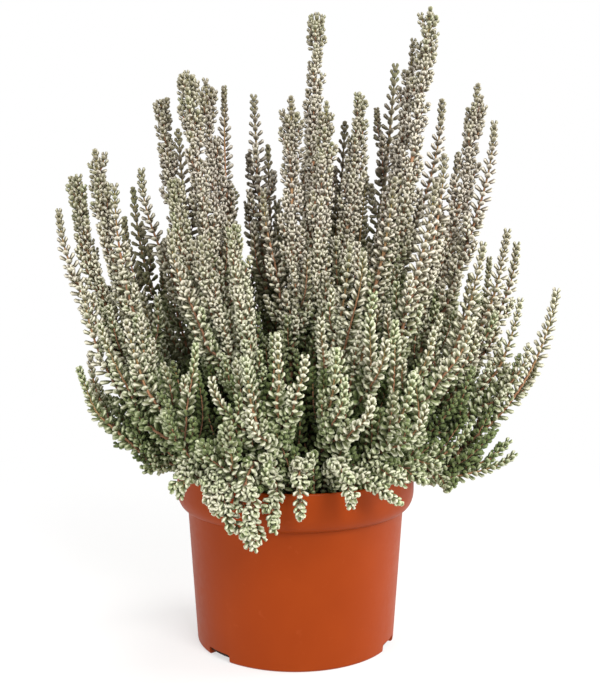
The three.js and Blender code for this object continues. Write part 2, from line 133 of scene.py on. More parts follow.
# %% Polypropylene
DRIFT_SIZE = 22 * MM
SCUFF_SIZE = 4 * MM
GRAIN_SIZE = 0.6 * MM
GRAIN_DEPTH = 0.05 * MM
plastic, tree = new_material("moulded_polypropylene")
place = add(tree, "ShaderNodeTexCoord").outputs["Object"]
drift_at = {"Vector": place, "Scale": 1 / DRIFT_SIZE, "Detail": 2.0, "Roughness": 0.5}
drift = add(tree, "ShaderNodeTexNoise", drift_at)
pigments = [(0.25, "#8b3302"), (0.75, "#913704")]
pigment = add(tree, "ShaderNodeValToRGB", {"Fac": drift}, stops=pigments)
scuffs_at = {"Vector": place, "Scale": 1 / SCUFF_SIZE, "Detail": 5.0, "Roughness": 0.7}
scuffs = add(tree, "ShaderNodeTexNoise", scuffs_at)
rubbed = {"Value": scuffs, "From Min": 0.62, "From Max": 0.74, "To Max": 0.35}
scuffed = add(tree, "ShaderNodeMapRange", rubbed)
two_colours = {0: scuffed, 6: pigment, 7: colour("#a84c26")}
faded = add(tree, "ShaderNodeMix", two_colours, data_type="RGBA")
grain = add(tree, "ShaderNodeTexNoise", {"Vector": place, "Scale": 1 / GRAIN_SIZE, "Detail": 2.0})
skin = add(tree, "ShaderNodeBump", {"Strength": 0.25, "Distance": GRAIN_DEPTH, "Height": grain})
satin = {"Value": scuffs, "From Min": 0.3, "From Max": 0.75, "To Min": 0.40, "To Max": 0.52}
dull = add(tree, "ShaderNodeMapRange", satin)
finish = {
    "Base Color": faded.outputs[2],
    "Roughness": dull,
    "IOR": 1.49,
    "Specular IOR Level": 0.13,
    "Normal": skin,
}
surface = add(tree, "ShaderNodeBsdfPrincipled", finish)
add(tree, "ShaderNodeOutputMaterial", {"Surface": surface})
print("material", plastic.name, "nodes", len(tree.nodes))

# %% [markdown]
# ## The pot
# The pot is a solid of revolution, so its mesh is one profile turned about Z. The profile goes
# up the outside and down the inside: a foot with a small rounding, a wall that leans out, the
# collar with its curved lower edge and a fine step under it, and a round lip. The drain slots
# are then cut through the foot with a boolean, because they are the only thing that isn't round.

# %% Pot sizes
POT_HEIGHT = 80.7
RIM_RADIUS = 55
FOOT_RADIUS = 46.1
FOOT_ROUNDING = 1.2
NECK_RADIUS = 50.1
NECK_HEIGHT = 63.2
NECK_STEP = 0.5
COLLAR_CURVE_HEIGHT = 7.8
WALL = 1.2
FLOOR = 1.6
LIP = 0.8
POT_SIDES = 160
SLOT_BEARINGS = (-48, 68, 188)
SLOT_WIDTH = 14.4
SLOT_HEIGHT = 3.7
SLOT_DEPTH = 9
SLOT_CORNER = 1.1
# The widest angle between two faces, in degrees, that is still shaded smooth.
SHARPEST_SMOOTH = 35


def arc(centre, radii, start, end, steps):
    """Points on an arc of an ellipse in the (radius, height) plane, angles in degrees."""
    angles = np.radians(np.linspace(start, end, steps + 1))
    (x, z), (wide, high) = centre, radii
    return [(x + wide * math.cos(a), z + high * math.sin(a)) for a in angles]


def collar_curve(neck, collar, bottom):
    """The collar's lower edge, from the neck out to the collar's radius."""
    radii = (collar - neck, COLLAR_CURVE_HEIGHT)
    return arc((neck, bottom + COLLAR_CURVE_HEIGHT), radii, -90, 0, 12)


foot = FOOT_RADIUS - FOOT_ROUNDING
outside = [(0, 0), (foot * 0.5, 0)]
outside += arc((foot, FOOT_ROUNDING), (FOOT_ROUNDING, FOOT_ROUNDING), -90, 0, 5)
outside += [(NECK_RADIUS - 0.01, NECK_HEIGHT - NECK_STEP)]
outside += collar_curve(NECK_RADIUS + NECK_STEP, RIM_RADIUS, NECK_HEIGHT)
lip = arc((RIM_RADIUS - LIP, POT_HEIGHT - LIP), (LIP, LIP), 0, 180, 10)
inside = [(0, FLOOR), (FOOT_RADIUS - WALL, FLOOR)]
inside += collar_curve(NECK_RADIUS - WALL, RIM_RADIUS - 2 * LIP, NECK_HEIGHT + WALL)
profile = outside + lip + inside[::-1]
print("profile points", len(profile))


# %% The turned body
def turned(profile, sides):
    """A closed mesh turned about Z from a profile that starts and ends on the axis, in metres."""
    bm = bmesh.new()
    rings = []
    for radius, height in profile:
        if radius == 0:
            rings.append([bm.verts.new((0, 0, height * MM))])
            continue
        angles = [2 * math.pi * i / sides for i in range(sides)]
        across = [(radius * math.cos(a) * MM, radius * math.sin(a) * MM) for a in angles]
        rings.append([bm.verts.new((x, y, height * MM)) for x, y in across])
    for lower, upper in zip(rings, rings[1:]):
        for i in range(sides):
            j = (i + 1) % sides
            corners = [lower[i % len(lower)], lower[j % len(lower)]]
            corners += [upper[j % len(upper)], upper[i % len(upper)]]
            bm.faces.new(list(dict.fromkeys(corners)))
    bmesh.ops.recalc_face_normals(bm, faces=bm.faces)
    mesh = bpy.data.meshes.new("turned")
    bm.to_mesh(mesh)
    bm.free()
    return mesh


pot = new_object("nursery_pot", turned(profile, POT_SIDES))
print("pot faces", len(pot.data.polygons))


# %% Drain slots
def slot_cutter(bearing):
    """A block with rounded upper edges, across the foot at a bearing counted from the front."""
    bm = bmesh.new()
    bmesh.ops.create_cube(bm, size=1)
    bmesh.ops.scale(bm, vec=Vector((SLOT_DEPTH, SLOT_WIDTH, 2 * SLOT_HEIGHT)) * MM, verts=bm.verts)
    upper = [edge for edge in bm.edges if all(corner.co.z > 0 for corner in edge.verts)]
    top = [edge for edge in upper if abs(edge.verts[0].co.x - edge.verts[1].co.x) > MM]
    bmesh.ops.bevel(bm, geom=top, offset=SLOT_CORNER * MM, segments=4, affect="EDGES", profile=0.5)
    bmesh.ops.translate(bm, vec=(FOOT_RADIUS * MM, 0, 0), verts=bm.verts)
    turn = math.radians(bearing - 90)
    bmesh.ops.rotate(bm, matrix=Matrix.Rotation(turn, 3, "Z"), verts=bm.verts)
    mesh = bpy.data.meshes.new("slot")
    bm.to_mesh(mesh)
    bm.free()
    return new_object("slot", mesh)


def settle(piece):
    """Gives a piece the plain mesh that its modifier makes, and takes the modifier off."""
    made = piece.evaluated_get(bpy.context.evaluated_depsgraph_get())
    mesh = bpy.data.meshes.new_from_object(made)
    piece.modifiers.clear()
    old, piece.data = piece.data, mesh
    bpy.data.meshes.remove(old)
    mesh.name = piece.name


for bearing in SLOT_BEARINGS:
    cutter = slot_cutter(bearing)
    cut = pot.modifiers.new("slot", "BOOLEAN")
    cut.operation = "DIFFERENCE"
    cut.solver = "EXACT"
    cut.object = cutter
    settle(pot)
    bpy.data.objects.remove(cutter)
pot.data.materials.clear()
pot.data.materials.append(plastic)
pot.data.shade_smooth()
pot.data.set_sharp_from_angle(angle=math.radians(SHARPEST_SMOOTH))
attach(pot, "root")
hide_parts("pot")
print("pot faces with slots", len(pot.data.polygons))

# %% [markdown]
# ## Routes of the stems
# The table gives the place of each stem's tip, then of the shoots that fork from it. A broad
# stem is a thick spike, and a trailing one hangs over the rim. The rules that follow are the
# model's own: a root for each stem, a curve from the root to the tip, and a round of bending
# that keeps the shoots clear of each other, of the rim and of the peat.

# %% The stems' table, in millimetres
Stem = namedtuple("Stem", "top forks broad trailing", defaults=(False, False))
ROWS = {
    "front_sprays": [
        Stem((-7, -64, 148), [(-18, -74, 119), (4, -68, 140)]),
        Stem((17, -60, 142), [(20, -68, 131), (30, -74, 124)]),
        Stem((33, -40, 164), [(37, -56, 145), (42, -43, 152)]),
        Stem((48, -60, 132), [(52, -67, 120)]),
        Stem((-20, -60, 138), [(-34, -54, 129)]),
        Stem((-28, -72, 113), [(-38, -64, 105)]),
        Stem((-17, -70, 60), [(-8, -68, 66)], trailing=True),
        Stem((-55, -48, 114), [(-42, -42, 142)]),
        Stem((-44, -54, 76), [(-31, -63, 73)], trailing=True),
        Stem((2, -65, 71), [], trailing=True),
        Stem((21, -64, 75), [(38, -58, 75)], trailing=True),
        Stem((59, -40, 149), [(74, -42, 153)]),
    ],
    "second_row": [
        Stem((-26, -34, 192), [], broad=True),
        Stem((-41, -26, 187), [(-54, -26, 190)], broad=True),
        Stem((-54, -10, 212), [], broad=True),
        Stem((-73, -31, 151), [(-68, -20, 151)]),
        Stem((-86, -22, 149), [(-94, -15, 165)]),
        Stem((24, -25, 184), [(29, -34, 180), (11, -40, 153)]),
        Stem((44, -14, 213), []),
        Stem((61, -22, 211), [(66, -11, 223)]),
        Stem((83, -17, 184), []),
    ],
    "left_edge": [
        Stem((-98, -10, 128), [(-95, 1, 134), (-68, -14, 84)]),
        Stem((-100, 0, 214), [(-106, -8, 199)], broad=True),
        Stem((-90, -5, 226), [(-80, -13, 210)], broad=True),
        Stem((-94, 14, 169), [(-90, 10, 113)]),
        Stem((-81, 45, 211), [(-84, 36, 196)]),
    ],
    "tall_left": [
        Stem((-62, 14, 250), [(-71, 6, 218)], broad=True),
        Stem((-59, 52, 240), []),
        Stem((-49, 0, 261), [], broad=True),
        Stem((-42, 17, 260), [(-34, 27, 258)], broad=True),
        Stem((-20, 28, 254), [], broad=True),
    ],
    "tall_middle": [
        Stem((-14, 50, 232), [(-3, 57, 217)]),
        Stem((-2, 0, 250), [(-15, 8, 209)], broad=True),
        Stem((10, 22, 291), [], broad=True),
        Stem((14, -6, 247), [], broad=True),
        Stem((24, 38, 242), [(31, 60, 227)]),
    ],
    "tall_right": [
        Stem((30, 20, 254), [], broad=True),
        Stem((48, 34, 269), [], broad=True),
        Stem((54, 9, 277), [], broad=True),
        Stem((60, -4, 288), [(68, 14, 250)], broad=True),
        Stem((82, 56, 229), [(70, 40, 215)]),
    ],
    "right_edge": [
        Stem((83, 4, 256), [(89, -5, 238)], broad=True),
        Stem((98, 6, 190), [(93, 24, 177), (104, 14, 184)]),
        Stem((102, -7, 159), [(104, -16, 139)]),
        Stem((119, -4, 163), [(97, 12, 134)]),
        Stem((98, -20, 91), [(67, -32, 80)]),
    ],
    "back_high": [
        Stem((-70, 68, 176), [(-88, 50, 150)]),
        Stem((-36, 74, 215), [(-42, 88, 166), (-20, 70, 196)], broad=True),
        Stem((-10, 86, 178), [(12, 92, 150)]),
        Stem((12, 72, 206), [(34, 62, 222)], broad=True),
        Stem((56, 72, 202), [(36, 84, 172)], broad=True),
        Stem((88, 48, 168), [(66, 76, 148)]),
    ],
    "back_low": [
        Stem((-24, 90, 128), [(-42, 84, 122), (-8, 93, 116)]),
        Stem((32, 92, 128), [(16, 88, 114), (48, 84, 122)]),
        Stem((-71, 58, 130), [(-84, 42, 120), (-58, 70, 134)]),
        Stem((90, 30, 126), [(82, 44, 118), (98, 21, 138)]),
        Stem((-24, 64, 74), [(26, 63, 76)], trailing=True),
        Stem((-44, 50, 150), [(-30, 44, 170), (-56, 40, 168)]),
    ],
}
print("stems", sum(len(row) for row in ROWS.values()))

# %% Sizes of the routes, in millimetres
# The peat, and the roots in it.
PEAT_EDGE_HEIGHT = 70
PEAT_TOP_HEIGHT = 74
PEAT_LUMP = 0.8
PEAT_LUMP_LENGTH = 9
ROOT_CIRCLE_RADIUS = 42
ROOT_RISE = 2
# The bush's outline, a curve that opens upward.
OUTLINE_BASE_RADIUS = 45
OUTLINE_TOP_RADIUS = 115
OUTLINE_RISE = 24
OUTLINE_DEPTH_SHARE = 0.85
# How thick a leafy shoot is, and how it thins at its foot and its tip.
STEM_RADIUS = 1.3
BROAD_REACH = 5
SLIM_REACH = 3.7
BARE_STEM_LENGTH = 10
BARE_FORK_LENGTH = 6
LEAF_RAMP_LENGTH = 16
BROAD_TAPER_LENGTH = 34
SLIM_TAPER_LENGTH = 14
TAPER_SHARE = 0.62
RAMP_SHARE = 0.6
# Where a route's two middle points are, as shares: at the bush's axis, and at its outside.
ROUTE_POINTS = 24
LOW_OUT = (0.12, 0.43)
LOW_UP = (0.34, 0.08)
HIGH_OUT = (0.66, 0.9)
HIGH_UP = (0.7, 0.36)
TRAILING_ARCH = 22
TRAILING_SHOULDER = 16
# Forks, and the low skirt shoot that each outer stem has.
FORK_SHARE = 0.35
FIRST_FORK_POINT = 4
SKIRT_ROOT_RADIUS = 31
SKIRT_RADIUS = 66
SKIRT_HEIGHTS = (90, 101, 95)
SKIRT_TURN = 7
SKIRT_POINT = 3
print("each route has", ROUTE_POINTS, "points")


# %% Steps and curves
def lerp(a, b, share):
    """A value that share of the way from a to b."""
    return a + (b - a) * share


def smoothstep(x, low, high):
    """0 below low, 1 above high, and a soft step between."""
    share = np.clip((x - low) / (high - low), 0, 1)
    return share * share * (3 - 2 * share)


def bezier(a, b, c, d, count):
    """Points on a curve from a to d that leaves towards b and arrives from c."""
    t = np.linspace(0, 1, count)[:, None]
    u = 1 - t
    return u**3 * a + 3 * u**2 * t * b + 3 * u * t**2 * c + t**3 * d


def length_of(vectors):
    """Each vector's length."""
    return np.sqrt((vectors**2).sum(-1))


def unit(vectors):
    """The same directions at length 1."""
    return vectors / np.maximum(length_of(vectors), 1e-9)[..., None]


print("a third of the way, a soft step is at", round(float(smoothstep(1, 0, 3)), 2))


# %% The rules for one route
def peat_height(x, y):
    """The peat's surface: a low mound with soft lumps."""
    share = np.hypot(x, y) / RIM_RADIUS
    mound = lerp(PEAT_TOP_HEIGHT, PEAT_EDGE_HEIGHT, share * share)
    wave = 2 * math.pi / PEAT_LUMP_LENGTH
    return mound + PEAT_LUMP * np.sin(wave * x) * np.cos(wave * y)


def outline_radius(height):
    """How far the bush's outline stands from its axis at a height."""
    rise = np.maximum(0, height - PEAT_EDGE_HEIGHT) / OUTLINE_RISE
    return lerp(OUTLINE_TOP_RADIUS, OUTLINE_BASE_RADIUS, np.exp(-rise))


def root_of(top):
    """A stem's root: as far out in the peat as its tip is out in the bush."""
    radius = outline_radius(top[2])
    share = np.array([top[0] / radius, top[1] / (radius * OUTLINE_DEPTH_SHARE)])
    root = share * ROOT_CIRCLE_RADIUS
    root *= min(1, ROOT_CIRCLE_RADIUS / max(np.hypot(*root), 1e-9))
    return np.array([*root, PEAT_TOP_HEIGHT + ROOT_RISE])


def stem_route(top, trailing):
    """A stem's route from root to tip. Outer ones go out first and then up, trailing ones arch."""
    root = root_of(top)
    out = np.hypot(root[0], root[1]) / ROOT_CIRCLE_RADIUS
    low = lerp(root, top, lerp(*LOW_OUT, out))
    high = lerp(root, top, lerp(*HIGH_OUT, out))
    low[2] = lerp(root[2], top[2], lerp(*LOW_UP, out))
    high[2] = lerp(root[2], top[2], lerp(*HIGH_UP, out))
    if trailing:
        low[2] = POT_HEIGHT + TRAILING_ARCH
        high = np.array([top[0], top[1], POT_HEIGHT + TRAILING_SHOULDER])
    return bezier(root, low, high, top, ROUTE_POINTS)


def fork_route(stem, at, top):
    """A fork's route: it leaves along its stem, and arrives upright, or hanging."""
    start = stem[at]
    reach = length_of(top - start) * FORK_SHARE
    low = start + unit(stem[at + 1] - start) * reach
    high = top - np.array([0, 0, -reach if top[2] < start[2] else reach])
    return bezier(start, low, high, top, ROUTE_POINTS)


def fork_point(stem, top):
    """The point of a stem's route that a fork leaves from: a third of the way up to its tip."""
    rise = max(top[2] - stem[0][2], 0) * FORK_SHARE
    found = np.flatnonzero(stem[:, 2] - stem[0][2] >= rise)
    return int(np.clip(found[0] if len(found) else -1, FIRST_FORK_POINT, ROUTE_POINTS // 2))


def skirt_top(root, count):
    """The tip of an outer stem's skirt shoot, which hides the bare feet of the stems."""
    turn = math.radians(SKIRT_TURN if count % 2 else -SKIRT_TURN)
    bearing = math.atan2(root[1], root[0]) + turn
    height = SKIRT_HEIGHTS[count % len(SKIRT_HEIGHTS)]
    return np.array([SKIRT_RADIUS * math.cos(bearing), SKIRT_RADIUS * math.sin(bearing), height])


tallest = ROWS["tall_middle"][2].top
print("the tallest tip", tallest, "has its root at", root_of(tallest).round(1))


# %% Every shoot's first route
Shoot = namedtuple("Shoot", "stem broad trailing parent at")


def plan_shoots():
    """Each shoot's facts, and its route as one row of an array."""
    shoots, routes = [], []
    for number, stem in enumerate([stem for row in ROWS.values() for stem in row]):
        own = len(shoots)
        route = stem_route(np.array(stem.top, float), stem.trailing)
        shoots.append(Shoot(number, stem.broad, stem.trailing, -1, 0))
        routes.append(route)
        for fork in stem.forks:
            top = np.array(fork, float)
            at = fork_point(route, top)
            shoots.append(Shoot(number, False, stem.trailing, own, at))
            routes.append(fork_route(route, at, top))
        if not stem.trailing and np.hypot(route[0][0], route[0][1]) > SKIRT_ROOT_RADIUS:
            shoots.append(Shoot(number, False, False, own, SKIRT_POINT))
            routes.append(fork_route(route, SKIRT_POINT, skirt_top(route[0], number)))
    return shoots, np.array(routes)


shoots, routes = plan_shoots()
print("shoots", len(shoots))

# %% [markdown]
# ## Bending the shoots apart
# Real shoots grow round each other, so none runs through another. The first routes do. They are
# treated as soft tubes: wherever two come too near, each is pushed half of what is missing, the
# push is spread to the points beside it, and this is repeated until they rest clear. Roots don't
# move, and the first centimetres are stiff. The rim and the peat push too, but they stay put.

# %% What the shoots keep clear of
BEND_TURNS = 240
SEARCH_TURNS = 8
SEARCH_REACH = 17
SEARCH_BLOCK = 500
CLEARANCE = 1
RIM_CLEARANCE = 4.2
STIFF_LENGTH = 18
STEP_SHARE = 0.55
LEAST_GAP = 0.1


def clear_pot(points, room):
    """Lifts points off the pot's rim, and over the peat. Works on any array of points."""
    radius = np.hypot(points[..., 0], points[..., 1])
    wall = RIM_RADIUS - LIP
    want = room + RIM_CLEARANCE
    over = np.sqrt(np.maximum(want**2 - (radius - wall) ** 2, 0))
    lifted = np.maximum(points[..., 2], POT_HEIGHT - LIP + over)
    height = np.where(np.abs(radius - wall) < want, lifted, points[..., 2])
    soil = peat_height(points[..., 0], points[..., 1]) + PEAT_LUMP + room
    points[..., 2] = np.where(radius < wall, np.maximum(height, soil), height)


def near_pairs(points, far):
    """Every two points of different shoots that lie within a distance, as two index arrays."""
    flat = points.reshape(-1, 3).astype(np.float32)
    inner = np.flatnonzero(np.arange(len(flat)) % ROUTE_POINTS)
    spots = flat[inner]
    firsts, seconds = [], []
    for start in range(0, len(spots), SEARCH_BLOCK):
        block = spots[start : start + SEARCH_BLOCK]
        squares = ((block[:, None, :] - spots[None, :, :]) ** 2).sum(-1)
        a, b = np.nonzero(squares < far * far)
        a, b = inner[a + start], inner[b]
        keep = a // ROUTE_POINTS < b // ROUTE_POINTS
        firsts.append(a[keep])
        seconds.append(b[keep])
    return np.concatenate(firsts), np.concatenate(seconds)


print("pairs of points that lie near each other", len(near_pairs(routes, SEARCH_REACH)[0]))


# %% Bending them, turn by turn
def bend_clear(shoots, points):
    """Bends the shoots clear of each other, turn by turn. Roots stay where they are."""
    parent = np.array([shoot.parent for shoot in shoots])
    at = np.array([shoot.at for shoot in shoots])
    broad = np.array([shoot.broad for shoot in shoots])
    reach = np.where(broad, BROAD_REACH, SLIM_REACH)[:, None]
    taper = np.where(broad, BROAD_TAPER_LENGTH, SLIM_TAPER_LENGTH)[:, None]
    bare = np.where(parent < 0, BARE_STEM_LENGTH, BARE_FORK_LENGTH)[:, None]
    stems, forks = np.flatnonzero(parent < 0), np.flatnonzero(parent >= 0)
    last = ROUTE_POINTS - 1
    after = np.minimum(np.arange(ROUTE_POINTS) + 1, last)
    before = np.maximum(np.arange(ROUTE_POINTS) - 1, 0)
    for turn in range(BEND_TURNS):
        # The room each point needs round it, and how free it is to move.
        steps = length_of(np.diff(points, axis=1))
        along = np.concatenate([np.zeros((len(points), 1)), np.cumsum(steps, axis=1)], axis=1)
        length = along[:, -1:]
        share = lerp(RAMP_SHARE, 1, smoothstep(along, bare, bare + LEAF_RAMP_LENGTH))
        share = share * lerp(TAPER_SHARE, 1, smoothstep(length - along, 0, taper))
        room = np.maximum(np.where(along < bare, 0, reach * share), STEM_RADIUS)
        free = np.minimum(1, along / STIFF_LENGTH)
        ahead = unit(points[:, after] - points[:, before])
        # Which points are near is looked up every few turns. Kin may touch where they fork.
        if turn % SEARCH_TURNS == 0:
            a, b = near_pairs(points, SEARCH_REACH)
            first, second = a // ROUTE_POINTS, b // ROUTE_POINTS
            kin = (parent[first] == second) | (parent[second] == first)
            kin |= (parent[first] >= 0) & (parent[first] == parent[second])
        # Two points push if they lie side by side and their shoots come too close there.
        spots, direction = points.reshape(-1, 3), ahead.reshape(-1, 3)
        rooms, frees, lengths = room.ravel(), free.ravel(), length.ravel()
        gap = spots[a] - spots[b]
        offset = (gap * direction[a]).sum(1)
        want = rooms[a] + rooms[b] + CLEARANCE
        step = STEP_SHARE * np.maximum(lengths[first], lengths[second]) / last
        near = (np.abs(offset) <= step) & ((gap**2).sum(1) <= want**2 + step**2)
        near &= ~(kin & (np.minimum(frees[a], frees[b]) < 1))
        gap -= direction[a] * offset[:, None]
        apart = length_of(gap)
        near &= apart < want
        gap *= ((want - apart) / (2 * np.maximum(apart, LEAST_GAP)) * near)[:, None]
        # The pushes on each point are added up, and shared with the points beside it.
        push = np.zeros_like(spots)
        for axis in range(3):
            push[:, axis] += np.bincount(a, gap[:, axis], len(spots))
            push[:, axis] -= np.bincount(b, gap[:, axis], len(spots))
        push = push.reshape(points.shape)
        mean = (2 * push + push[:, before] + push[:, after]) / 4
        moved = mean * (free / 2)[..., None]
        # The stems move first. Then each fork is carried along by its stem, and moves itself.
        for group in (stems, forks):
            if group is forks:
                carried = moved[parent[forks], at[forks]][:, None, :]
                moved[forks] += carried * (1 - free[forks])[..., None]
            start = points[group, 1:].copy()
            points[group, 1:] += moved[group, 1:]
            lifted = points[group, 1:]
            clear_pot(lifted, room[group, 1:])
            points[group, 1:] = lifted
            moved[group, 1:] = points[group, 1:] - start
        points[forks, 0] = points[parent[forks], at[forks]]
    return points


routes = bend_clear(shoots, routes)
spots = routes.reshape(-1, 3)
print("bent routes span", spots.min(0).round(1), spots.max(0).round(1))

# %% [markdown]
# ## Leaves along a shoot
# A heather leaf sits opposite another, and the next pair is turned a quarter, so a shoot has
# four rows of leaves. At the tip the pairs are short, close together and pressed to the shoot.
# Further down they are longer, wider apart and lean out. So each route is cut at its leaf pairs,
# counted from the tip, and every cut keeps the length, the lean and the colour of its leaves.

# %% Leaf rules, in millimetres and degrees
TIP_PITCH = 1.3
LOW_PITCH = 2.05
PITCH_REACH = 14
BARE_PITCH = 4
ROOT_SINK = 9
TIP_INSET = 1.8
Kind = namedtuple("Kind", "tip_leaf low_leaf leaf_reach tip_lean top_lean low_lean girth pitch")
SLIM = Kind(3.0, 5.2, 36, 24, 45, 74, 0.9, 1.05)
BROAD = Kind(2.7, 3.8, 90, 22, 44, 56, 1.0, 1.1)
SIDE = Kind(2.8, 4.2, 20, 24, 48, 64, 0.5, 1.0)
TWIG = Kind(2.5, 3.0, 8, 22, 46, 56, 0.4, 1.12)
TRAILING = Kind(3.0, 4.3, 10, 26, 52, 62, 0.8, 0.95)
rng = np.random.default_rng(11)


def catmull(points, parts):
    """A smooth route through points, with that many parts between each two."""
    padded = np.concatenate([[2 * points[0] - points[1]], points, [2 * points[-1] - points[-2]]])
    a, b, c, d = padded[:-3, None], padded[1:-2, None], padded[2:-1, None], padded[3:, None]
    t = (np.arange(parts) / parts)[None, :, None]
    curve = 0.5 * (2 * b + (c - a) * t + (2 * a - 5 * b + 4 * c - d) * t**2)
    curve += 0.5 * (3 * b - a - 3 * c + d) * t**3
    return np.concatenate([curve.reshape(-1, 3), points[-1:]])


def along_route(points):
    """How far along its route each point lies."""
    return np.concatenate([[0], np.cumsum(length_of(np.diff(points, axis=0)))])


def cut_route(points, stops):
    """Points at distances along a route."""
    along = along_route(points)
    return np.stack([np.interp(stops, along, points[:, axis]) for axis in range(3)], axis=1)


def leaf_stops(length, bare, pitch):
    """Distances from the tip: the leaf pairs, then a few stops down the bare part."""
    left = [TIP_INSET]
    while left[-1] < length - bare:
        share = float(smoothstep(left[-1], 0, PITCH_REACH))
        left.append(left[-1] + pitch * lerp(TIP_PITCH, LOW_PITCH, share))
    leafy = len(left)
    while left[-1] + BARE_PITCH < length:
        left.append(left[-1] + BARE_PITCH)
    if left[-1] < length:
        left.append(length)
    left = np.minimum(np.array(left), length)
    return left, np.arange(len(left)) < leafy


print("leaf pairs on a slim shoot of 100 mm", int(leaf_stops(100, 10, SLIM.pitch)[1].sum()))

# %% [markdown]
# ## Tone and down
# Two numbers colour a leaf. The tone picks its green: 0 dark olive, 0.2 dark green, 0.4 fresh
# green, 0.6 silver-green, 0.8 olive-grey, 1 brown-grey. It rises with height, and falls at the
# low sides and on old wood. It falls deep in the bush too, partly for the older leaves there and
# partly as painted shade, and behind the foremost shoots as painted shade. The down is how much
# of the pale felt the leaf carries: less where it is old and worn, or young and green, and less
# again under painted shade behind the middle and behind the foremost shoots.

# %% Tone and down at a point
FRESH_TONE = 0.4
DARKEST_TONE = 0.3
INNER_SHARES = (0.35, 0.9)


def outer_share(points):
    """How near points are to the outside of the bush: 0 inside, 1 at its outline."""
    x, y, z = points.T
    outline = outline_radius(z)
    return smoothstep(np.hypot(x / outline, y / (outline * 0.75)), *INNER_SHARES)


def painted_hollow_shade(points):
    """How far points stand behind the foremost low shoots, where little light gets in, for painted
    shade.
    """
    x, y, z = points.T
    front = smoothstep(y, -52, -36) * (1 - smoothstep(y, -20, 10))
    return front * (1 - smoothstep(z, 104, 138)) * (1 - smoothstep(np.abs(x), 40, 60))


def high_tip(z, age):
    """Where the green young tips of the tall shoots are. Age is the distance from the tip."""
    return smoothstep(z, 150, 200) * (1 - smoothstep(age, 5, 22))


def tone_at(points, age):
    """The leaves' tone, from their place and their distance from the tip."""
    x, y, z = points.T
    inside = 1 - outer_share(points)
    # Silver-green from the rim up, and browner from half the plant's height up.
    tone = 0.57 + 0.19 * smoothstep(z, 92, 138) + 0.24 * smoothstep(z, 145, 225)
    # Greener at the low sides, most of all on the left.
    low_edge = smoothstep(-x, 45, 75) + 0.4 * smoothstep(x, 45, 75)
    tone -= 0.15 * low_edge * (1 - smoothstep(z, 86, 124))
    # Darker inside the lower bush, partly for its older leaves and partly as painted shade, darker
    # behind the front shoots as painted shade, and green at the tall tips.
    tone -= 0.2 * inside * (1 - smoothstep(z, 110, 170)) + 0.14 * painted_hollow_shade(points)
    tone -= 0.16 * high_tip(z, age)
    # Old leaves darken, and those inside most, which adds to the painted shade deep in the bush.
    return tone - 0.12 * smoothstep(age, 40, 110) * lerp(0.2, 1, inside)


def down_at(points, age):
    """How much pale down the leaves carry, from their place and their distance from the tip."""
    x, y, z = points.T
    # Worn off a few centimetres from the tip, thinner behind the middle as painted shade, and
    # thinner at the low sides.
    worn = smoothstep(age, 28, 95) * lerp(0.25, 1, 1 - outer_share(points))
    shaded = smoothstep(y, 18, 44) * (1 - 0.6 * smoothstep(y, 62, 84))
    low_edge = smoothstep(np.abs(x), 38, 66) * (1 - smoothstep(z, 98, 140))
    # Less on the green young tips of the tall shoots, and less behind the foremost low shoots as
    # painted shade.
    green_tips_and_shade = 0.13 * high_tip(z, age) + 0.24 * painted_hollow_shade(points)
    return (1 - 0.2 * worn) * (1 - 0.3 * shaded) * (1 - 0.05 * low_edge) * (1 - green_tips_and_shade)


front_and_top = np.array([(0, -60, 120), (10, 22, 290.0)])
print("tone in front and on top", tone_at(front_and_top, np.zeros(2)).round(2))

# %% [markdown]
# ## One leafy shoot
# A spray gathers the cut routes of one row of stems. For every cut it keeps the leaf's length and
# lean, the thickness of the wood, the tone and the down. The nodes read these later by name. No
# two shoots are alike, so each draws its own spacing, leaf size and openness.

# %% Adding a shoot to a spray
TIP_GIRTH = 0.32
GIRTH_REACH = 70
PITCH_SPREAD = (0.92, 1.12)
SIZE_SPREAD = (0.92, 1.08)
LEAN_SPREAD = (-5, 5)
FRESH_AGES = (6, 24)


def new_spray():
    """An empty spray."""
    lists = {label: [] for label in ("points", "edges", "leaf", "lean", "girth", "tone", "down")}
    return {**lists, "count": 0}


def add_shoot(spray, route, kind, bare, tone_shift, fresh=0.0, girth=None, age=0.0, fill_shade=0.0):
    """Cuts a route at its leaf pairs and adds it, with what each pair needs, to a spray."""
    length = along_route(route)[-1]
    left, leafy = leaf_stops(length, bare, kind.pitch * rng.uniform(*PITCH_SPREAD))
    left, leafy = left[::-1], leafy[::-1]
    points = cut_route(route, length - left)
    size = rng.uniform(*SIZE_SPREAD)
    opened = rng.uniform(*LEAN_SPREAD)
    leaf = lerp(kind.tip_leaf, kind.low_leaf, smoothstep(left, 0, kind.leaf_reach)) * size
    lean = kind.tip_lean + (kind.top_lean - kind.tip_lean) * smoothstep(left, -2, 4)
    lean = opened + lean + (kind.low_lean - kind.top_lean) * smoothstep(left, 5, kind.leaf_reach)
    thick = TIP_GIRTH + ((girth or kind.girth) - TIP_GIRTH) * np.clip(left / GIRTH_REACH, 0, 1)
    tone = tone_at(points, left + age) + tone_shift
    tone = lerp(tone, FRESH_TONE, fresh * (1 - smoothstep(left, *FRESH_AGES)))
    start = spray["count"]
    spray["points"].append(points)
    spray["edges"] += [(start + i, start + i + 1) for i in range(len(points) - 1)]
    spray["leaf"].append(np.where(leafy, leaf, 0))
    spray["lean"].append(np.radians(lean))
    spray["girth"].append(thick)
    spray["tone"].append(np.clip(tone, DARKEST_TONE, 1))
    # Painted shade on filling shoots takes down off their leaves.
    spray["down"].append(down_at(points, left + age) * (1 - fill_shade))
    spray["count"] += len(points)


def frames_along(route):
    """Directions ahead and aside at each point of a route, which don't twist."""
    ahead = unit(np.gradient(route, axis=0))
    side = np.cross(ahead[0], (0.3, 0.9, 0.1))
    sides = []
    for direction in ahead:
        side = unit(side - direction * (side @ direction))
        sides.append(side)
    return ahead, np.array(sides)


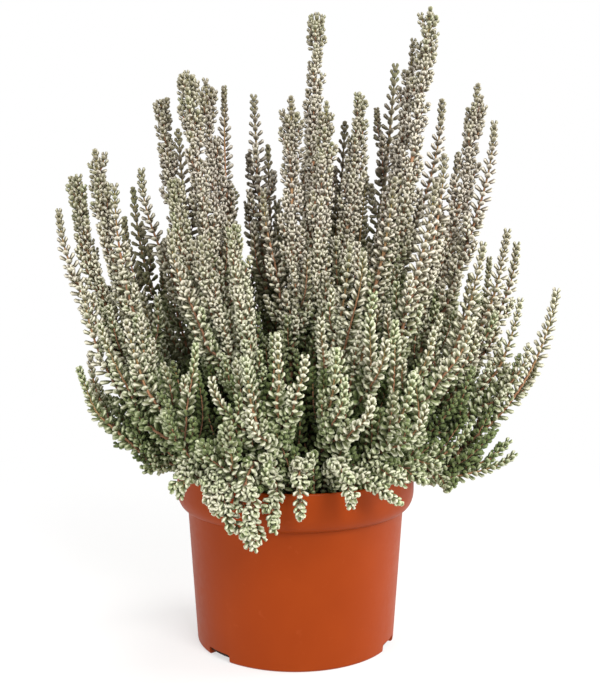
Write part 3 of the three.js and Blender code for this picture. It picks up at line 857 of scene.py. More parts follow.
def side_route(start, ahead, aside, length, spread, lean):
    """A side shoot's route: off at a lean, then curving up along its parent."""
    off = math.cos(lean) * ahead + math.sin(lean) * aside
    end = start + length * (math.cos(spread) * ahead + math.sin(spread) * aside)
    low = start + off * length * 0.4
    high = end - unit(ahead * 0.9 + aside * 0.15) * length * 0.35
    return bezier(start, low, high, end, 8)


print("what a spray keeps", *new_spray())

# %% [markdown]
# ## Side shoots
# Low down, every stem has side shoots that fill the bush. They turn round it by the golden angle
# from one to the next, as most plants do, so none stands right over another. On the broad spikes,
# the upper half carries short twigs pressed to it, in opposite pairs every 3 mm or so, which is
# what makes a spike thick and knobbly. Both kinds get shorter towards the tip, and a few are left
# out. Side shoots that would point down are skipped, because growing tips turn to the light.

# %% Sizes of side shoots and twigs, in millimetres and radians
SIDE_SPACING = 6.5
SIDE_LENGTHS = (34, 15)
SIDE_GAPS = 0.08
SIDE_SPREAD = (0.26, 0.46)
SIDE_LEAN = 0.95
TWIG_SPACING = 3.0
TWIG_LENGTHS = (11.5, 8.5)
TWIG_GAPS = 0.12
TWIG_SPREAD = (0.34, 0.54)
TWIG_LEAN = 0.9
GOLDEN_ANGLE = 2.4
FULL_TURN = 6.28
STEEPEST_DOWN = -0.35
# Painted shade on the low side shoots that fill the bush: a darker tone and less down.
FILL_SHADE = 0.22
FILL_HEIGHTS = (92, 122)
SPRIG_ROOM = 3.0


def clear_sprig(points):
    """Keeps a side shoot's points off the pot's rim and over the peat."""
    radius = np.hypot(points[:, 0], points[:, 1])
    wall = RIM_RADIUS - LIP
    over = np.sqrt(np.maximum(SPRIG_ROOM**2 - (radius - wall) ** 2, 0))
    soil = peat_height(points[:, 0], points[:, 1]) + 2.5
    rim = np.where(np.abs(radius - wall) < SPRIG_ROOM, POT_HEIGHT + over, -99)
    points[:, 2] = np.maximum(points[:, 2], rim)
    points[:, 2] = np.where(radius < wall, np.maximum(points[:, 2], soil), points[:, 2])


print("side shoots every", SIDE_SPACING, "mm, pressed twigs every", TWIG_SPACING, "mm")


# %% Side shoots
def add_side_shoots(spray, route, kind, bare, upto, lengths, spacing, tone_shift, rise):
    """Side shoots on the lower part of a route, turned by the golden angle each time."""
    total = along_route(route)[-1]
    ahead, side = frames_along(route)
    along = along_route(route)
    bearing = rng.uniform(0, FULL_TURN)
    hanging = rise[2] < 0.5
    stop = bare + 2
    while stop < upto * total:
        i = int(np.searchsorted(along, stop))
        bearing += GOLDEN_ANGLE + rng.uniform(-0.4, 0.4)
        stop += spacing * rng.uniform(0.75, 1.25)
        length = lerp(*lengths, along[i] / total) * rng.uniform(0.6, 1.25)
        if rng.random() < SIDE_GAPS:
            continue
        forward = unit(lerp(ahead[i], rise, 0.45))
        across = np.cross(ahead[i], side[i])
        aside = math.cos(bearing) * side[i] + math.sin(bearing) * across
        aside = unit(aside - forward * (aside @ forward))
        if aside[2] < STEEPEST_DOWN and not hanging:
            continue
        twig = side_route(route[i], forward, aside, length, rng.uniform(*SIDE_SPREAD), SIDE_LEAN)
        clear_sprig(twig[1:])
        shift = tone_shift + rng.uniform(-0.07, 0.05)
        fresh = 0.6 * (rng.random() < 0.25 and route[i][2] < 150)
        age = (total - along[i]) * 0.5
        # Low side shoots get painted shade: a darker tone and less down.
        fill_shade = 0 if hanging else FILL_SHADE * (1 - float(smoothstep(route[i][2], *FILL_HEIGHTS)))
        add_shoot(spray, catmull(twig, 3), kind, 1.5, shift - 0.4 * fill_shade, fresh, age=age, fill_shade=fill_shade)


print("they shorten from", SIDE_LENGTHS[0], "to", SIDE_LENGTHS[1], "mm")


# %% Pressed twigs
def add_pressed_twigs(spray, route, start, tone_shift):
    """Opposite twigs pressed to a spike, each pair turned a quarter from the last."""
    total = along_route(route)[-1]
    ahead, side = frames_along(route)
    along = along_route(route)
    stop, quarter = start * total, 0
    slim_tip = rng.uniform(4, 15)
    while stop < total - slim_tip:
        i = int(np.searchsorted(along, stop))
        share = (stop - start * total) / (total * (1 - start))
        quarter += 1
        across = np.cross(ahead[i], side[i])
        for half in (0, math.pi):
            if rng.random() < TWIG_GAPS:
                continue
            bearing = quarter * math.pi / 2 + half + rng.uniform(-0.35, 0.35)
            aside = math.cos(bearing) * side[i] + math.sin(bearing) * across
            length = lerp(*TWIG_LENGTHS, share) * rng.uniform(0.65, 1.25)
            length = min(length, 0.8 * (total - stop) + 1)
            spread = rng.uniform(*TWIG_SPREAD)
            twig = side_route(route[i], ahead[i], aside, length, spread, TWIG_LEAN)
            shift = tone_shift + rng.uniform(-0.06, 0.06)
            add_shoot(spray, catmull(twig, 2), TWIG, 1.2, shift, age=(total - along[i]) * 0.3)
        stop += TWIG_SPACING * rng.uniform(0.8, 1.2)


print("they shorten from", TWIG_LENGTHS[0], "to", TWIG_LENGTHS[1], "mm")

# %% [markdown]
# ## Leafing every shoot
# Each bent route now becomes a leafy shoot. The table's broad stems are spikes with pressed
# twigs, apart from two that carry none, and so look slender. How far up the side shoots
# go, how long they are and how far apart depends on where the shoot grows: trailing ones have
# many short ones, low ones many of middle length, and those in front few, so that they stay
# apart from each other.

# %% The shoots of the table
SLENDER_STEMS = (30, 37)
LOW_TIP = 120
UPWARD = np.array([0.0, 0.0, 1.0])


def curl_tip(points):
    """Turns a hanging shoot's last part outward and up, as growing tips turn to the light."""
    share = smoothstep(np.arange(len(points)) / (len(points) - 1), 0.55, 1)[:, None]
    away = unit(points[-1] * (1, 1, 0))
    return points + away * 5 * share + (0, 0, 4) * share**2


def side_habit(shoot, knobbly, tip):
    """The share of a shoot that has side shoots, their lengths low and high, and their spacing."""
    fork = shoot.parent >= 0
    if shoot.trailing:
        spacing = SIDE_SPACING * 0.6
        return (0.92, (7, 6), spacing) if fork else (0.93, (9, 7), spacing)
    if tip[2] < LOW_TIP:
        spacing = SIDE_SPACING * 0.75
        return (0.8, (13, 9), spacing * 1.35) if fork else (0.85, (17, 12), spacing)
    spacing = SIDE_SPACING * (1.5 if tip[1] < -30 else 0.9)
    if fork:
        return 0.6, (13, 9), spacing
    if knobbly:
        return 0.5, SIDE_LENGTHS, spacing
    return 0.8 if tip[1] > 20 else 0.66, SIDE_LENGTHS, spacing


sprays = {name: new_spray() for name in ROWS}
spray_names = [name for name, row in ROWS.items() for _ in row]
for shoot, points in zip(shoots, routes):
    spray = sprays[spray_names[shoot.stem]]
    tip = points[-1]
    tone_shift = rng.uniform(-0.08, 0.06)
    knobbly = shoot.broad and shoot.stem not in SLENDER_STEMS
    main, side_kind, rise = BROAD if knobbly else SLIM, SIDE, UPWARD
    if shoot.trailing:
        points = curl_tip(points)
        main, side_kind, rise = TRAILING, TRAILING, unit(tip * (1, 1, 0))
        tone_shift += 0.1
    route = catmull(points, 5)
    low_front = tip[2] < 175 and tip[1] < 0 and not shoot.trailing
    fresh = 0.7 * float(low_front and rng.random() < 0.45)
    reach, lengths, spacing = side_habit(shoot, knobbly, tip)
    if shoot.parent < 0:
        route = np.concatenate([route[:1] - [[0, 0, ROOT_SINK]], route])
        add_shoot(spray, route, main, ROOT_SINK + 4, tone_shift, fresh)
        side_from = ROOT_SINK + 6
    else:
        add_shoot(spray, route, main, 2, tone_shift, fresh, girth=0.75)
        side_from = 8
    add_side_shoots(spray, route, side_kind, side_from, reach, lengths, spacing, tone_shift, rise)
    if knobbly:
        add_pressed_twigs(spray, route, 0.4, tone_shift)
print("cuts so far", sum(spray["count"] for spray in sprays.values()))

# %% [markdown]
# ## Sprigs along the rim
# Young sprigs come up all round, between the outer stems and the pot's wall. They lean over the
# rim, so hardly any peat shows. Each one belongs to the nearest stem.

# %% Rim sprigs
SPRIG_COUNT = 40
SPRIG_ROOT_RADIUS = (41, 48)
SPRIG_TIP_RADIUS = (50, 61)
SPRIG_TIP_HEIGHT = (85, 116)
roots = np.array([points[0] for shoot, points in zip(shoots, routes) if shoot.parent < 0])


def nearest_spray(place):
    """The spray of the stem whose root is nearest to a place."""
    return sprays[spray_names[int(np.argmin(length_of(roots - place)))]]


for count in range(SPRIG_COUNT):
    bearing = 2 * math.pi * (count + rng.uniform(-0.4, 0.4)) / SPRIG_COUNT
    away = np.array([math.cos(bearing), math.sin(bearing), 0.0])
    root = away * rng.uniform(*SPRIG_ROOT_RADIUS)
    root[2] = float(peat_height(root[0], root[1])) - 3
    turned_by = bearing + rng.uniform(-0.2, 0.2)
    tip = np.array([math.cos(turned_by), math.sin(turned_by), 0.0]) * rng.uniform(*SPRIG_TIP_RADIUS)
    tip[2] = rng.uniform(*SPRIG_TIP_HEIGHT)
    low = root + (0, 0, 14)
    sprig = bezier(root, low, tip - away * 6 + (0, 0, rng.uniform(0, 5)), tip, 9)
    clear_sprig(sprig[2:])
    sprig = catmull(sprig, 4)
    spray = nearest_spray(root)
    shift = rng.uniform(-0.22, 0.0)
    # A little painted shade at random, which takes down off the sprig.
    add_shoot(spray, sprig, SLIM, 6, shift, girth=0.6, fill_shade=rng.uniform(0, 0.2))
    add_side_shoots(spray, sprig, SIDE, 7, 0.85, (9, 7), 6, shift, lerp(away, UPWARD, 0.6))
print("rim sprigs", SPRIG_COUNT)

# %% [markdown]
# ## Sprigs that hang, and ones that stand in front
# Over the front of the rim some sprigs hang or poke out, and between them slim young shoots stand
# upright before the dark hollow of the bush. They are what the eye meets first, so each one has
# its own place: where it starts, the point it bends over or stands up towards, and where its tip
# is. All are in millimetres.

# %% Hanging sprigs: start, crest and end
HANGING = (
    ((-44, -46, 88), (-36, -56, 86), (-18, -66, 62)),
    ((-40, -48, 90), (-31, -60, 88), (-24, -66, 66)),
    ((-36, -49, 90), (-26, -62, 88), (-12, -67, 62)),
    ((36, -34, 88), (46, -42, 92), (51, -46, 80)),
    ((42, -28, 88), (52, -35, 93), (57, -38, 85)),
    ((30, -38, 88), (36, -50, 92), (42, -57, 82)),
    ((38, -30, 90), (44, -38, 100), (50, -42, 97)),
    ((-8, -42, 77), (-8, -48, 90), (-9, -51, 99)),
    ((4, -43, 77), (5, -49, 88), (6, -52, 94)),
    ((16, -41, 77), (18, -46, 90), (19, -49, 100)),
    ((26, -36, 77), (29, -43, 88), (31, -46, 94)),
)
front_spray = sprays["front_sprays"]
for start, crest, end in np.array(HANGING, float):
    hung = curl_tip(bezier(start, crest, lerp(crest, end, 0.5) + (0, -3, 4), end, 12))
    across = unit(hung[-1] * (1, 1, 0))
    hung = catmull(hung, 3)
    add_shoot(front_spray, hung, TRAILING, 1, 0.02, girth=0.6)
    add_side_shoots(front_spray, hung, SIDE, 2, 0.8, (9, 7), 5, 0, across)
print("hanging sprigs", len(HANGING))

# %% Upright sprigs: start, crest and end
UPRIGHT = (
    ((-16, -40, 77), (-17, -47, 96), (-20, -52, 115)),
    ((-22, -40, 78), (-28, -51, 90), (-30, -55, 109)),
    ((-38, -24, 78), (-50, -30, 92), (-57, -35, 111)),
    ((22, -38, 77), (23, -45, 104), (17, -52, 141)),
    ((31, -36, 77), (33, -44, 98), (32, -50, 120)),
    ((40, -24, 78), (57, -35, 98), (50, -43, 130)),
    ((27, -37, 77), (33, -43, 116), (31, -47, 153)),
    ((34, -32, 77), (43, -39, 112), (42, -41, 151)),
    ((-10, -40, 77), (-13, -46, 104), (-21, -48, 137)),
)
for start, crest, end in np.array(UPRIGHT, float):
    upright = catmull(bezier(start, lerp(start, crest, 0.7), crest, end, 14), 3)
    add_shoot(front_spray, upright, TRAILING, 1, rng.uniform(0, 0.08), 0.5, girth=0.7)
print("upright sprigs", len(UPRIGHT))

# %% [markdown]
# ## Slim shoots between the spikes
# Where the outline would show holes, slim shoots fill them. Only their tips are given. Their
# routes follow the same rule as the stems', and each belongs to the stem with the nearest root.

# %% Fillers, by their tips
FILLERS = (
    (-64, 30, 182), (80, 24, 178), (-54, 38, 172), (-74, 24, 160), (-18, 34, 166),
    (62, 32, 150), (76, 30, 140), (84, 20, 128), (50, 34, 186), (4, 38, 222),
    (21, 30, 212), (-9, 30, 204), (34, 30, 216), (-84, -4, 112), (-76, -10, 100),
    (78, -20, 104), (86, -16, 98), (96, -16, 96), (-96, 6, 120),
)
for tip in np.array(FILLERS, float):
    filler = catmull(stem_route(tip, False), 4)
    spray = nearest_spray(filler[0])
    shift = rng.uniform(-0.1, 0.04)
    add_shoot(spray, filler, SLIM, 20, shift, age=20)
    add_side_shoots(spray, filler, SIDE, 30, 0.7, SIDE_LENGTHS, 9, shift, UPWARD)
leaf_pairs = sum(int((np.concatenate(spray["leaf"]) > 0).sum()) for spray in sprays.values())
print("leaf pairs", leaf_pairs, "cuts", sum(spray["count"] for spray in sprays.values()))

# %% [markdown]
# ## The leaf
# One leaf is a plump club with four edges: a keel, two margins and a rounded upper face, widest
# near its tip and bent a little towards the shoot. It has two rings of four corners, which is as
# few faces as still read as round when they are shaded smooth. Its own map runs from base to
# tip. The margins are set nearer the tip on it, because a heather leaf's edge is as downy and
# pale as its tip, and this also paints the sheen that down gives along a leaf's edge: a painted
# sheen. The keel is set nearer the base, because it is green, and so it takes more of the painted
# shade at the leaf's base.

# %% Leaf mesh
# Each ring: its place along the leaf, its half width and its half depth.
LEAF_RINGS = ((0.4, 0.46, 0.36), (0.84, 0.58, 0.42))
LEAF_BEND = 0.35
KEEL_DARKER = 0.8
# How far nearer the tip the margins sit on the map: partly the down's own paleness, partly a
# painted sheen.
MARGIN_DOWN_AND_SHEEN = 0.42
TIP_REACH = 0.84


def make_leaf():
    """A leaf of unit length along Z and unit width, with its place on the map in attributes."""
    corners = [(0, 0, 0)]
    reach, across = [0.0], [0.0]
    for share, width, depth in LEAF_RINGS:
        centre = -LEAF_BEND * share**2
        for k, (x, y) in enumerate([(depth, 0), (0, width), (-depth, 0), (0, -width)]):
            corners.append((centre + x, y, share))
            reach.append(min(1, share + MARGIN_DOWN_AND_SHEEN) if k % 2 else share * KEEL_DARKER)
            across.append((0, 1, 0, -1)[k])
    corners.append((-LEAF_BEND, 0, 1))
    reach.append(TIP_REACH)
    across.append(0.0)
    faces = [(0, 1 + (k + 1) % 4, 1 + k) for k in range(4)]
    for ring in range(len(LEAF_RINGS) - 1):
        low, high = 1 + 4 * ring, 5 + 4 * ring
        faces += [(low + k, low + (k + 1) % 4, high + (k + 1) % 4, high + k) for k in range(4)]
    top = 1 + 4 * (len(LEAF_RINGS) - 1)
    faces += [(top + k, top + (k + 1) % 4, len(corners) - 1) for k in range(4)]
    mesh = bpy.data.meshes.new("heather_leaf")
    mesh.from_pydata(corners, [], faces)
    mesh.shade_smooth()
    for name, values in (("reach", reach), ("across", across)):
        mesh.attributes.new(name, "FLOAT", "POINT").data.foreach_set("value", values)
    return mesh


leaf = new_object("heather_leaf", make_leaf())
print("leaf faces", len(leaf.data.polygons))

# %% [markdown]
# ## Leaf and bark finishes
# The leaves are covered in fine down, so they scatter light at their edges: a sheen does that.
# The colour is read from the piece's own map. Across, the map runs from the leaf's base, which
# is darkened with painted shade where it sits against the shoot, over its green body to the pale
# felt of its tip and margins, and the down decides how far that way a leaf gets. Up, it runs
# through the tones. The lowest strip of the map is bark, which is red-brown and gets greener
# towards the tip of the shoot.

# %% Downy leaf
MAP_NAME = "OFBake"
BARK_STRIP = 0.1
TONE_START = 0.14
TONE_SPAN = 0.83
MAP_HALF_WIDTH = 0.012
# At tones 0, 0.2, 0.4, 0.6, 0.8 and 1.
BODY_COLOURS = ("#1c200c", "#3a431f", "#677545", "#727850", "#7c775c", "#6d6353")
FELT_COLOURS = ("#6c6c46", "#9ba072", "#d0d6ab", "#eae9cf", "#f1ebd6", "#e8e0d1")


def tone_stops(colours):
    """The places of the tones' colours on the map."""
    return [(TONE_START + TONE_SPAN * i / 5, code) for i, code in enumerate(colours)]


downy, tree = new_material("downy_leaf")
own_map = add(tree, "ShaderNodeUVMap", uv_map=MAP_NAME)
spot = add(tree, "ShaderNodeSeparateXYZ", {0: own_map}).outputs
body = add(tree, "ShaderNodeValToRGB", {"Fac": spot["Y"]}, stops=tone_stops(BODY_COLOURS))
felt = add(tree, "ShaderNodeValToRGB", {"Fac": spot["Y"]}, stops=tone_stops(FELT_COLOURS))
felted = {"Value": spot["X"], "From Min": 0.6, "From Max": 1.02}
pale = add(tree, "ShaderNodeMapRange", felted, interpolation_type="SMOOTHSTEP")
blade = add(tree, "ShaderNodeMix", {0: pale, 6: body, 7: felt}, data_type="RGBA")
# Painted shade: the leaf's base, where it sits against the shoot, is darkened down to a quarter.
base_shade_range = {"Value": spot["X"], "From Min": 0.0, "From Max": 0.45, "To Min": 0.25}
shaded = add(tree, "ShaderNodeMapRange", base_shade_range)
based = {0: blade.outputs[2], "Scale": shaded}
finish = {
    "Base Color": add(tree, "ShaderNodeVectorMath", based, operation="SCALE"),
    "Roughness": 0.75,
    "Specular IOR Level": 0.2,
    "Sheen Weight": 0.1,
    "Sheen Roughness": 0.4,
}
surface = add(tree, "ShaderNodeBsdfPrincipled", finish)
add(tree, "ShaderNodeOutputMaterial", {"Surface": surface})
print("tones on the map", [round(place, 3) for place, _ in tone_stops(BODY_COLOURS)])

# %% Young bark
bark, tree = new_material("young_heather_bark")
own_map = add(tree, "ShaderNodeUVMap", uv_map=MAP_NAME)
spot = add(tree, "ShaderNodeSeparateXYZ", {0: own_map}).outputs
foot_to_tip = [(0.0, "#3a2a1c"), (0.3, "#835e46"), (0.7, "#a97b5b"), (1.0, "#8c844e")]
wood = add(tree, "ShaderNodeValToRGB", {"Fac": spot["X"]}, stops=foot_to_tip)
finish = {"Base Color": wood, "Roughness": 0.7, "Specular IOR Level": 0.3}
surface = add(tree, "ShaderNodeBsdfPrincipled", finish)
add(tree, "ShaderNodeOutputMaterial", {"Surface": surface})
print("materials", downy.name, bark.name)

# %% [markdown]
# ## Growing the leaves with Geometry Nodes
# The tree takes the cut routes as loose edges. It turns them to curves and sweeps a thin tube
# along them for the bark. Each cut becomes two points, one for each leaf of the pair, that share
# the curve's own rotation. Every second pair is turned a quarter about the shoot, each leaf leans
# out by its own angle, and small random changes keep the rows from looking machined.


# %% The leafy-shoot tree
def new_tree(name, labels):
    """A geometry tree with these inputs and their values, and the outputs of its input node."""
    tree = bpy.data.node_groups.new(name, "GeometryNodeTree")
    tree.interface.new_socket("Geometry", in_out="INPUT", socket_type="NodeSocketGeometry")
    for label, value in labels.items():
        kind = "NodeSocketInt" if isinstance(value, int) else "NodeSocketFloat"
        socket = tree.interface.new_socket(label, in_out="INPUT", socket_type=kind)
        socket.default_value = value
    tree.interface.new_socket("Geometry", in_out="OUTPUT", socket_type="NodeSocketGeometry")
    return tree, add(tree, "NodeGroupInput").outputs


LEAF_INPUTS = {
    "Leaf Width": 1.3 * MM,
    "Width per Length": 0.22,
    "Lean Jitter": 0.08,
    "Turn Jitter": 0.16,
    "Size Jitter": 0.1,
    "Tone Jitter": 0.07,
    "Tube Sides": 4,
    "Tube Step": 4 * MM,
    "Seed": 3,
}
leafy, given = new_tree("leafy_shoots", LEAF_INPUTS)
NAMED = ("leaf", "lean", "girth", "tone", "down", "reach", "across", "along", "around", "own_tone")
named = {
    name: add(leafy, "GeometryNodeInputNamedAttribute", {"Name": name}, data_type="FLOAT")
    for name in NAMED
}
order = add(leafy, "GeometryNodeInputNamedAttribute", {"Name": "order"}, data_type="INT")
curves = add(leafy, "GeometryNodeMeshToCurve", {"Mesh": given["Geometry"]})
parameter = add(leafy, "GeometryNodeSplineParameter").outputs
counted = {"Geometry": curves, "Name": "order", "Value": parameter["Index"]}
ordered = add(leafy, "GeometryNodeStoreNamedAttribute", counted, data_type="INT", domain="POINT")
factor = {"Geometry": ordered, "Name": "along", "Value": parameter["Factor"]}
measured = add(
    leafy, "GeometryNodeStoreNamedAttribute", factor, data_type="FLOAT", domain="POINT"
)
print("tree inputs", len(LEAF_INPUTS))

# %% The bark tubes
circle = {"Resolution": given["Tube Sides"], "Radius": 1.0}
ring = add(leafy, "GeometryNodeCurvePrimitiveCircle", circle)
factor = {"Geometry": ring, "Name": "around", "Value": parameter["Factor"]}
profile = add(leafy, "GeometryNodeStoreNamedAttribute", factor, data_type="FLOAT", domain="POINT")
stepped = {"Curve": measured, "Length": given["Tube Step"]}
coarser = add(leafy, "GeometryNodeResampleCurve", stepped, mode="LENGTH")
swept = {"Curve": coarser, "Profile Curve": profile, "Scale": named["girth"], "Fill Caps": True}
tube = add(leafy, "GeometryNodeCurveToMesh", swept)
low_strip = {0: named["around"], 1: BARK_STRIP * 0.8, 2: 0.01}
strip = add(leafy, "ShaderNodeMath", low_strip, operation="MULTIPLY_ADD")
bark_spot = add(leafy, "ShaderNodeCombineXYZ", {"X": named["along"], "Y": strip})
mapped = {"Geometry": tube, "Name": MAP_NAME, "Value": bark_spot}
bark_mapped = add(
    leafy, "GeometryNodeStoreNamedAttribute", mapped, data_type="FLOAT2", domain="CORNER"
)
barked = add(leafy, "GeometryNodeSetMaterial", {"Geometry": bark_mapped, "Material": bark})
print("tube nodes", len(leafy.nodes))

# %% The leaf pairs
pairs = add(leafy, "GeometryNodeCurveToPoints", {"Curve": measured}, mode="EVALUATED")
twice = {"Geometry": pairs, "Amount": 2}
doubled = add(leafy, "GeometryNodeDuplicateElements", twice, domain="POINT")
number = add(leafy, "GeometryNodeInputIndex")


def jitter(size, seed_shift):
    """A random number between minus and plus a size, for each leaf."""
    seed = add(leafy, "ShaderNodeMath", {0: given["Seed"], 1: seed_shift}, operation="ADD")
    low = add(leafy, "ShaderNodeMath", {0: size, 1: -1.0}, operation="MULTIPLY")
    draw = {2: low, 3: size, "ID": number, "Seed": seed}
    return add(leafy, "FunctionNodeRandomValue", draw, data_type="FLOAT").outputs[1]


odd = add(leafy, "ShaderNodeMath", {0: order, 1: 2.0}, operation="MODULO")
quarter = add(leafy, "ShaderNodeMath", {0: odd, 1: math.pi / 2}, operation="MULTIPLY")
half_turn = {0: doubled.outputs["Duplicate Index"], 1: math.pi, 2: quarter}
opposite = add(leafy, "ShaderNodeMath", half_turn, operation="MULTIPLY_ADD")
turn_jitter = jitter(given["Turn Jitter"], 0)
bearing = add(leafy, "ShaderNodeMath", {0: opposite, 1: turn_jitter}, operation="ADD")
lean_jitter = jitter(given["Lean Jitter"], 1)
leaning = add(leafy, "ShaderNodeMath", {0: named["lean"], 1: lean_jitter}, operation="ADD")
turned_out = add(leafy, "ShaderNodeCombineXYZ", {"X": 0.0, "Y": leaning, "Z": bearing})
own_turn = add(leafy, "FunctionNodeEulerToRotation", {"Euler": turned_out})
both_turns = {"Rotation": pairs.outputs["Rotation"], "Rotate By": own_turn}
facing = add(leafy, "FunctionNodeRotateRotation", both_turns, rotation_space="LOCAL")
size_jitter = jitter(given["Size Jitter"], 2)
varied = add(leafy, "ShaderNodeMath", {0: size_jitter, 1: 1.0}, operation="ADD")
long = add(leafy, "ShaderNodeMath", {0: named["leaf"], 1: varied}, operation="MULTIPLY")
breadth = {0: named["leaf"], 1: given["Width per Length"], 2: given["Leaf Width"]}
wide = add(leafy, "ShaderNodeMath", breadth, operation="MULTIPLY_ADD")
size = add(leafy, "ShaderNodeCombineXYZ", {"X": wide, "Y": wide, "Z": long})
any_length = {0: named["leaf"], 1: 0.1 * MM}
has_leaf = add(
    leafy, "FunctionNodeCompare", any_length, data_type="FLOAT", operation="GREATER_THAN"
)
one_leaf = add(leafy, "GeometryNodeObjectInfo", {"Object": leaf}).outputs["Geometry"]
spots = {
    "Points": doubled,
    "Selection": has_leaf,
    "Instance": one_leaf,
    "Rotation": facing,
    "Scale": size,
}
placed = add(leafy, "GeometryNodeInstanceOnPoints", spots)
print("leaf nodes", len(leafy.nodes))

# %% The leaves' map, and the join
tone_jitter = jitter(given["Tone Jitter"], 4)
own_tone = add(leafy, "ShaderNodeMath", {0: named["tone"], 1: tone_jitter}, operation="ADD")
held_tone = add(leafy, "ShaderNodeClamp", {"Value": own_tone})
kept_tone = {"Geometry": placed, "Name": "own_tone", "Value": held_tone}
toned = add(
    leafy, "GeometryNodeStoreNamedAttribute", kept_tone, data_type="FLOAT", domain="INSTANCE"
)
solid_leaves = add(leafy, "GeometryNodeRealizeInstances", {"Geometry": toned})
on_map = {0: named["own_tone"], 1: TONE_SPAN, 2: TONE_START}
tone_line = add(leafy, "ShaderNodeMath", on_map, operation="MULTIPLY_ADD")
spread_out = {0: named["across"], 1: MAP_HALF_WIDTH, 2: tone_line}
tone_spot = add(leafy, "ShaderNodeMath", spread_out, operation="MULTIPLY_ADD")
downed = {0: named["reach"], 1: named["down"]}
reached = add(leafy, "ShaderNodeMath", downed, operation="MULTIPLY")
leaf_spot = add(leafy, "ShaderNodeCombineXYZ", {"X": reached, "Y": tone_spot})
mapped = {"Geometry": solid_leaves, "Name": MAP_NAME, "Value": leaf_spot}
leaf_mapped = add(
    leafy, "GeometryNodeStoreNamedAttribute", mapped, data_type="FLOAT2", domain="CORNER"
)
leaved = add(leafy, "GeometryNodeSetMaterial", {"Geometry": leaf_mapped, "Material": downy})
joined = add(leafy, "GeometryNodeJoinGeometry", {"Geometry": barked})
leafy.links.new(leaved.outputs["Geometry"], joined.inputs["Geometry"])
smooth = add(leafy, "GeometryNodeSetShadeSmooth", {"Geometry": joined, "Shade Smooth": True})
result = add(leafy, "GeometryNodeRealizeInstances", {"Geometry": smooth})
add(leafy, "NodeGroupOutput", {"Geometry": result})
print("tree nodes", len(leafy.nodes))

# %% [markdown]
# ## Growing each row of stems
# Each spray becomes one mesh of edges with its numbers as attributes, and the tree grows it. The
# modifier's seed is set before anything is evaluated. Then the result is kept as a plain mesh,
# and the attributes that only the tree needed are dropped.


# %% One piece for each row
def grow(name, spray, seed):
    """One row's stems as a plain mesh piece."""
    routes_mesh = bpy.data.meshes.new(name + "_routes")
    routes_mesh.from_pydata(np.concatenate(spray["points"]) * MM, spray["edges"], [])
    scales = {"leaf": MM, "lean": 1, "girth": MM, "tone": 1, "down": 1}
    for label, scale in scales.items():
        values = np.concatenate(spray[label]) * scale
        routes_mesh.attributes.new(label, "FLOAT", "POINT").data.foreach_set("value", values)
    piece = new_object(name, routes_mesh)
    grower = piece.modifiers.new("leafy_shoots", "NODES")
    grower.node_group = leafy
    grower[leafy.interface.items_tree["Seed"].identifier] = seed
    settle(piece)
    attributes = piece.data.attributes
    for label in {*NAMED, "order"}.intersection([attribute.name for attribute in attributes]):
        attributes.remove(attributes[label])
    return piece


first = 1
for seed, (name, row) in enumerate(ROWS.items()):
    piece = grow("heather_" + name, sprays[name], seed)
    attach(piece, "root")
    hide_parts(*[f"stem_{first + i:02d}" for i in range(len(row))])
    first += len(row)
    faces = sum(len(p.vertices) - 2 for p in piece.data.polygons)
    print(piece.name, "triangles", faces, "maps", [layer.name for layer in piece.data.uv_layers])
bpy.data.objects.remove(leaf)

# %% [markdown]
# ## The peat
# The peat is dark, damp and crumbly. Its surface is a low mound that follows the model's lumps,
# with finer ones from a noise, and loose crumbs lie on it. It is mostly in the bush's shade, so
# it stays nearly black between the stems. The speckle's grain is 1.5 mm, that of real crumbs.

# %% Peat material
SPECKLE_SIZE = 1.5 * MM
peat_stuff, tree = new_material("damp_peat")
place = add(tree, "ShaderNodeTexCoord").outputs["Object"]
speckle_at = {"Vector": place, "Scale": 1 / SPECKLE_SIZE, "Detail": 4.0}
speckle = add(tree, "ShaderNodeTexNoise", speckle_at)
browns = [(0.3, "#1a120c"), (0.55, "#33251b"), (0.75, "#54402e")]
brown = add(tree, "ShaderNodeValToRGB", {"Fac": speckle}, stops=browns)
crumble = add(tree, "ShaderNodeBump", {"Strength": 0.8, "Distance": 0.5 * MM, "Height": speckle})
finish = {"Base Color": brown, "Roughness": 0.95, "Specular IOR Level": 0.2, "Normal": crumble}
surface = add(tree, "ShaderNodeBsdfPrincipled", finish)
add(tree, "ShaderNodeOutputMaterial", {"Surface": surface})
print("material", peat_stuff.name)

# %% Peat body
PEAT_GAP = 0.2
PEAT_RINGS = 36
PEAT_SIDES = 96
FINE_LUMP = 0.9
FINE_LUMP_LENGTH = 3.5
rim = RIM_RADIUS - 2 * LIP - PEAT_GAP
peat_profile = [(0, FLOOR + PEAT_GAP), (FOOT_RADIUS - WALL - PEAT_GAP, FLOOR + PEAT_GAP)]
peat_profile += [(NECK_RADIUS - WALL - PEAT_GAP, NECK_HEIGHT + WALL)]
peat_profile += [(rim * ring / PEAT_RINGS, PEAT_EDGE_HEIGHT) for ring in range(PEAT_RINGS, -1, -1)]
peat = new_object("peat_surface", turned(peat_profile, PEAT_SIDES))
for vertex in peat.data.vertices:
    x, y, z = vertex.co / MM
    if z > NECK_HEIGHT + 2 * WALL:
        fine = noise.fractal(Vector((x, y, 0)) / FINE_LUMP_LENGTH, 0.6, 2.0, 3) * FINE_LUMP
        vertex.co.z = (float(peat_height(x, y)) + fine) * MM
peat.data.materials.append(peat_stuff)
peat.data.shade_smooth()
print("peat faces", len(peat.data.polygons))


# %% One crumb
def make_crumb():
    """A lumpy flattened ball of radius 1."""
    bm = bmesh.new()
    bmesh.ops.create_icosphere(bm, subdivisions=1, radius=1)
    for vertex in bm.verts:
        vertex.co *= 1 + 0.35 * noise.noise(vertex.co * 2.3)
        vertex.co.z *= 0.6
    mesh = bpy.data.meshes.new("crumb")
    bm.to_mesh(mesh)
    bm.free()
    return mesh


crumb = new_object("crumb", make_crumb())
print("crumb faces", len(crumb.data.polygons))

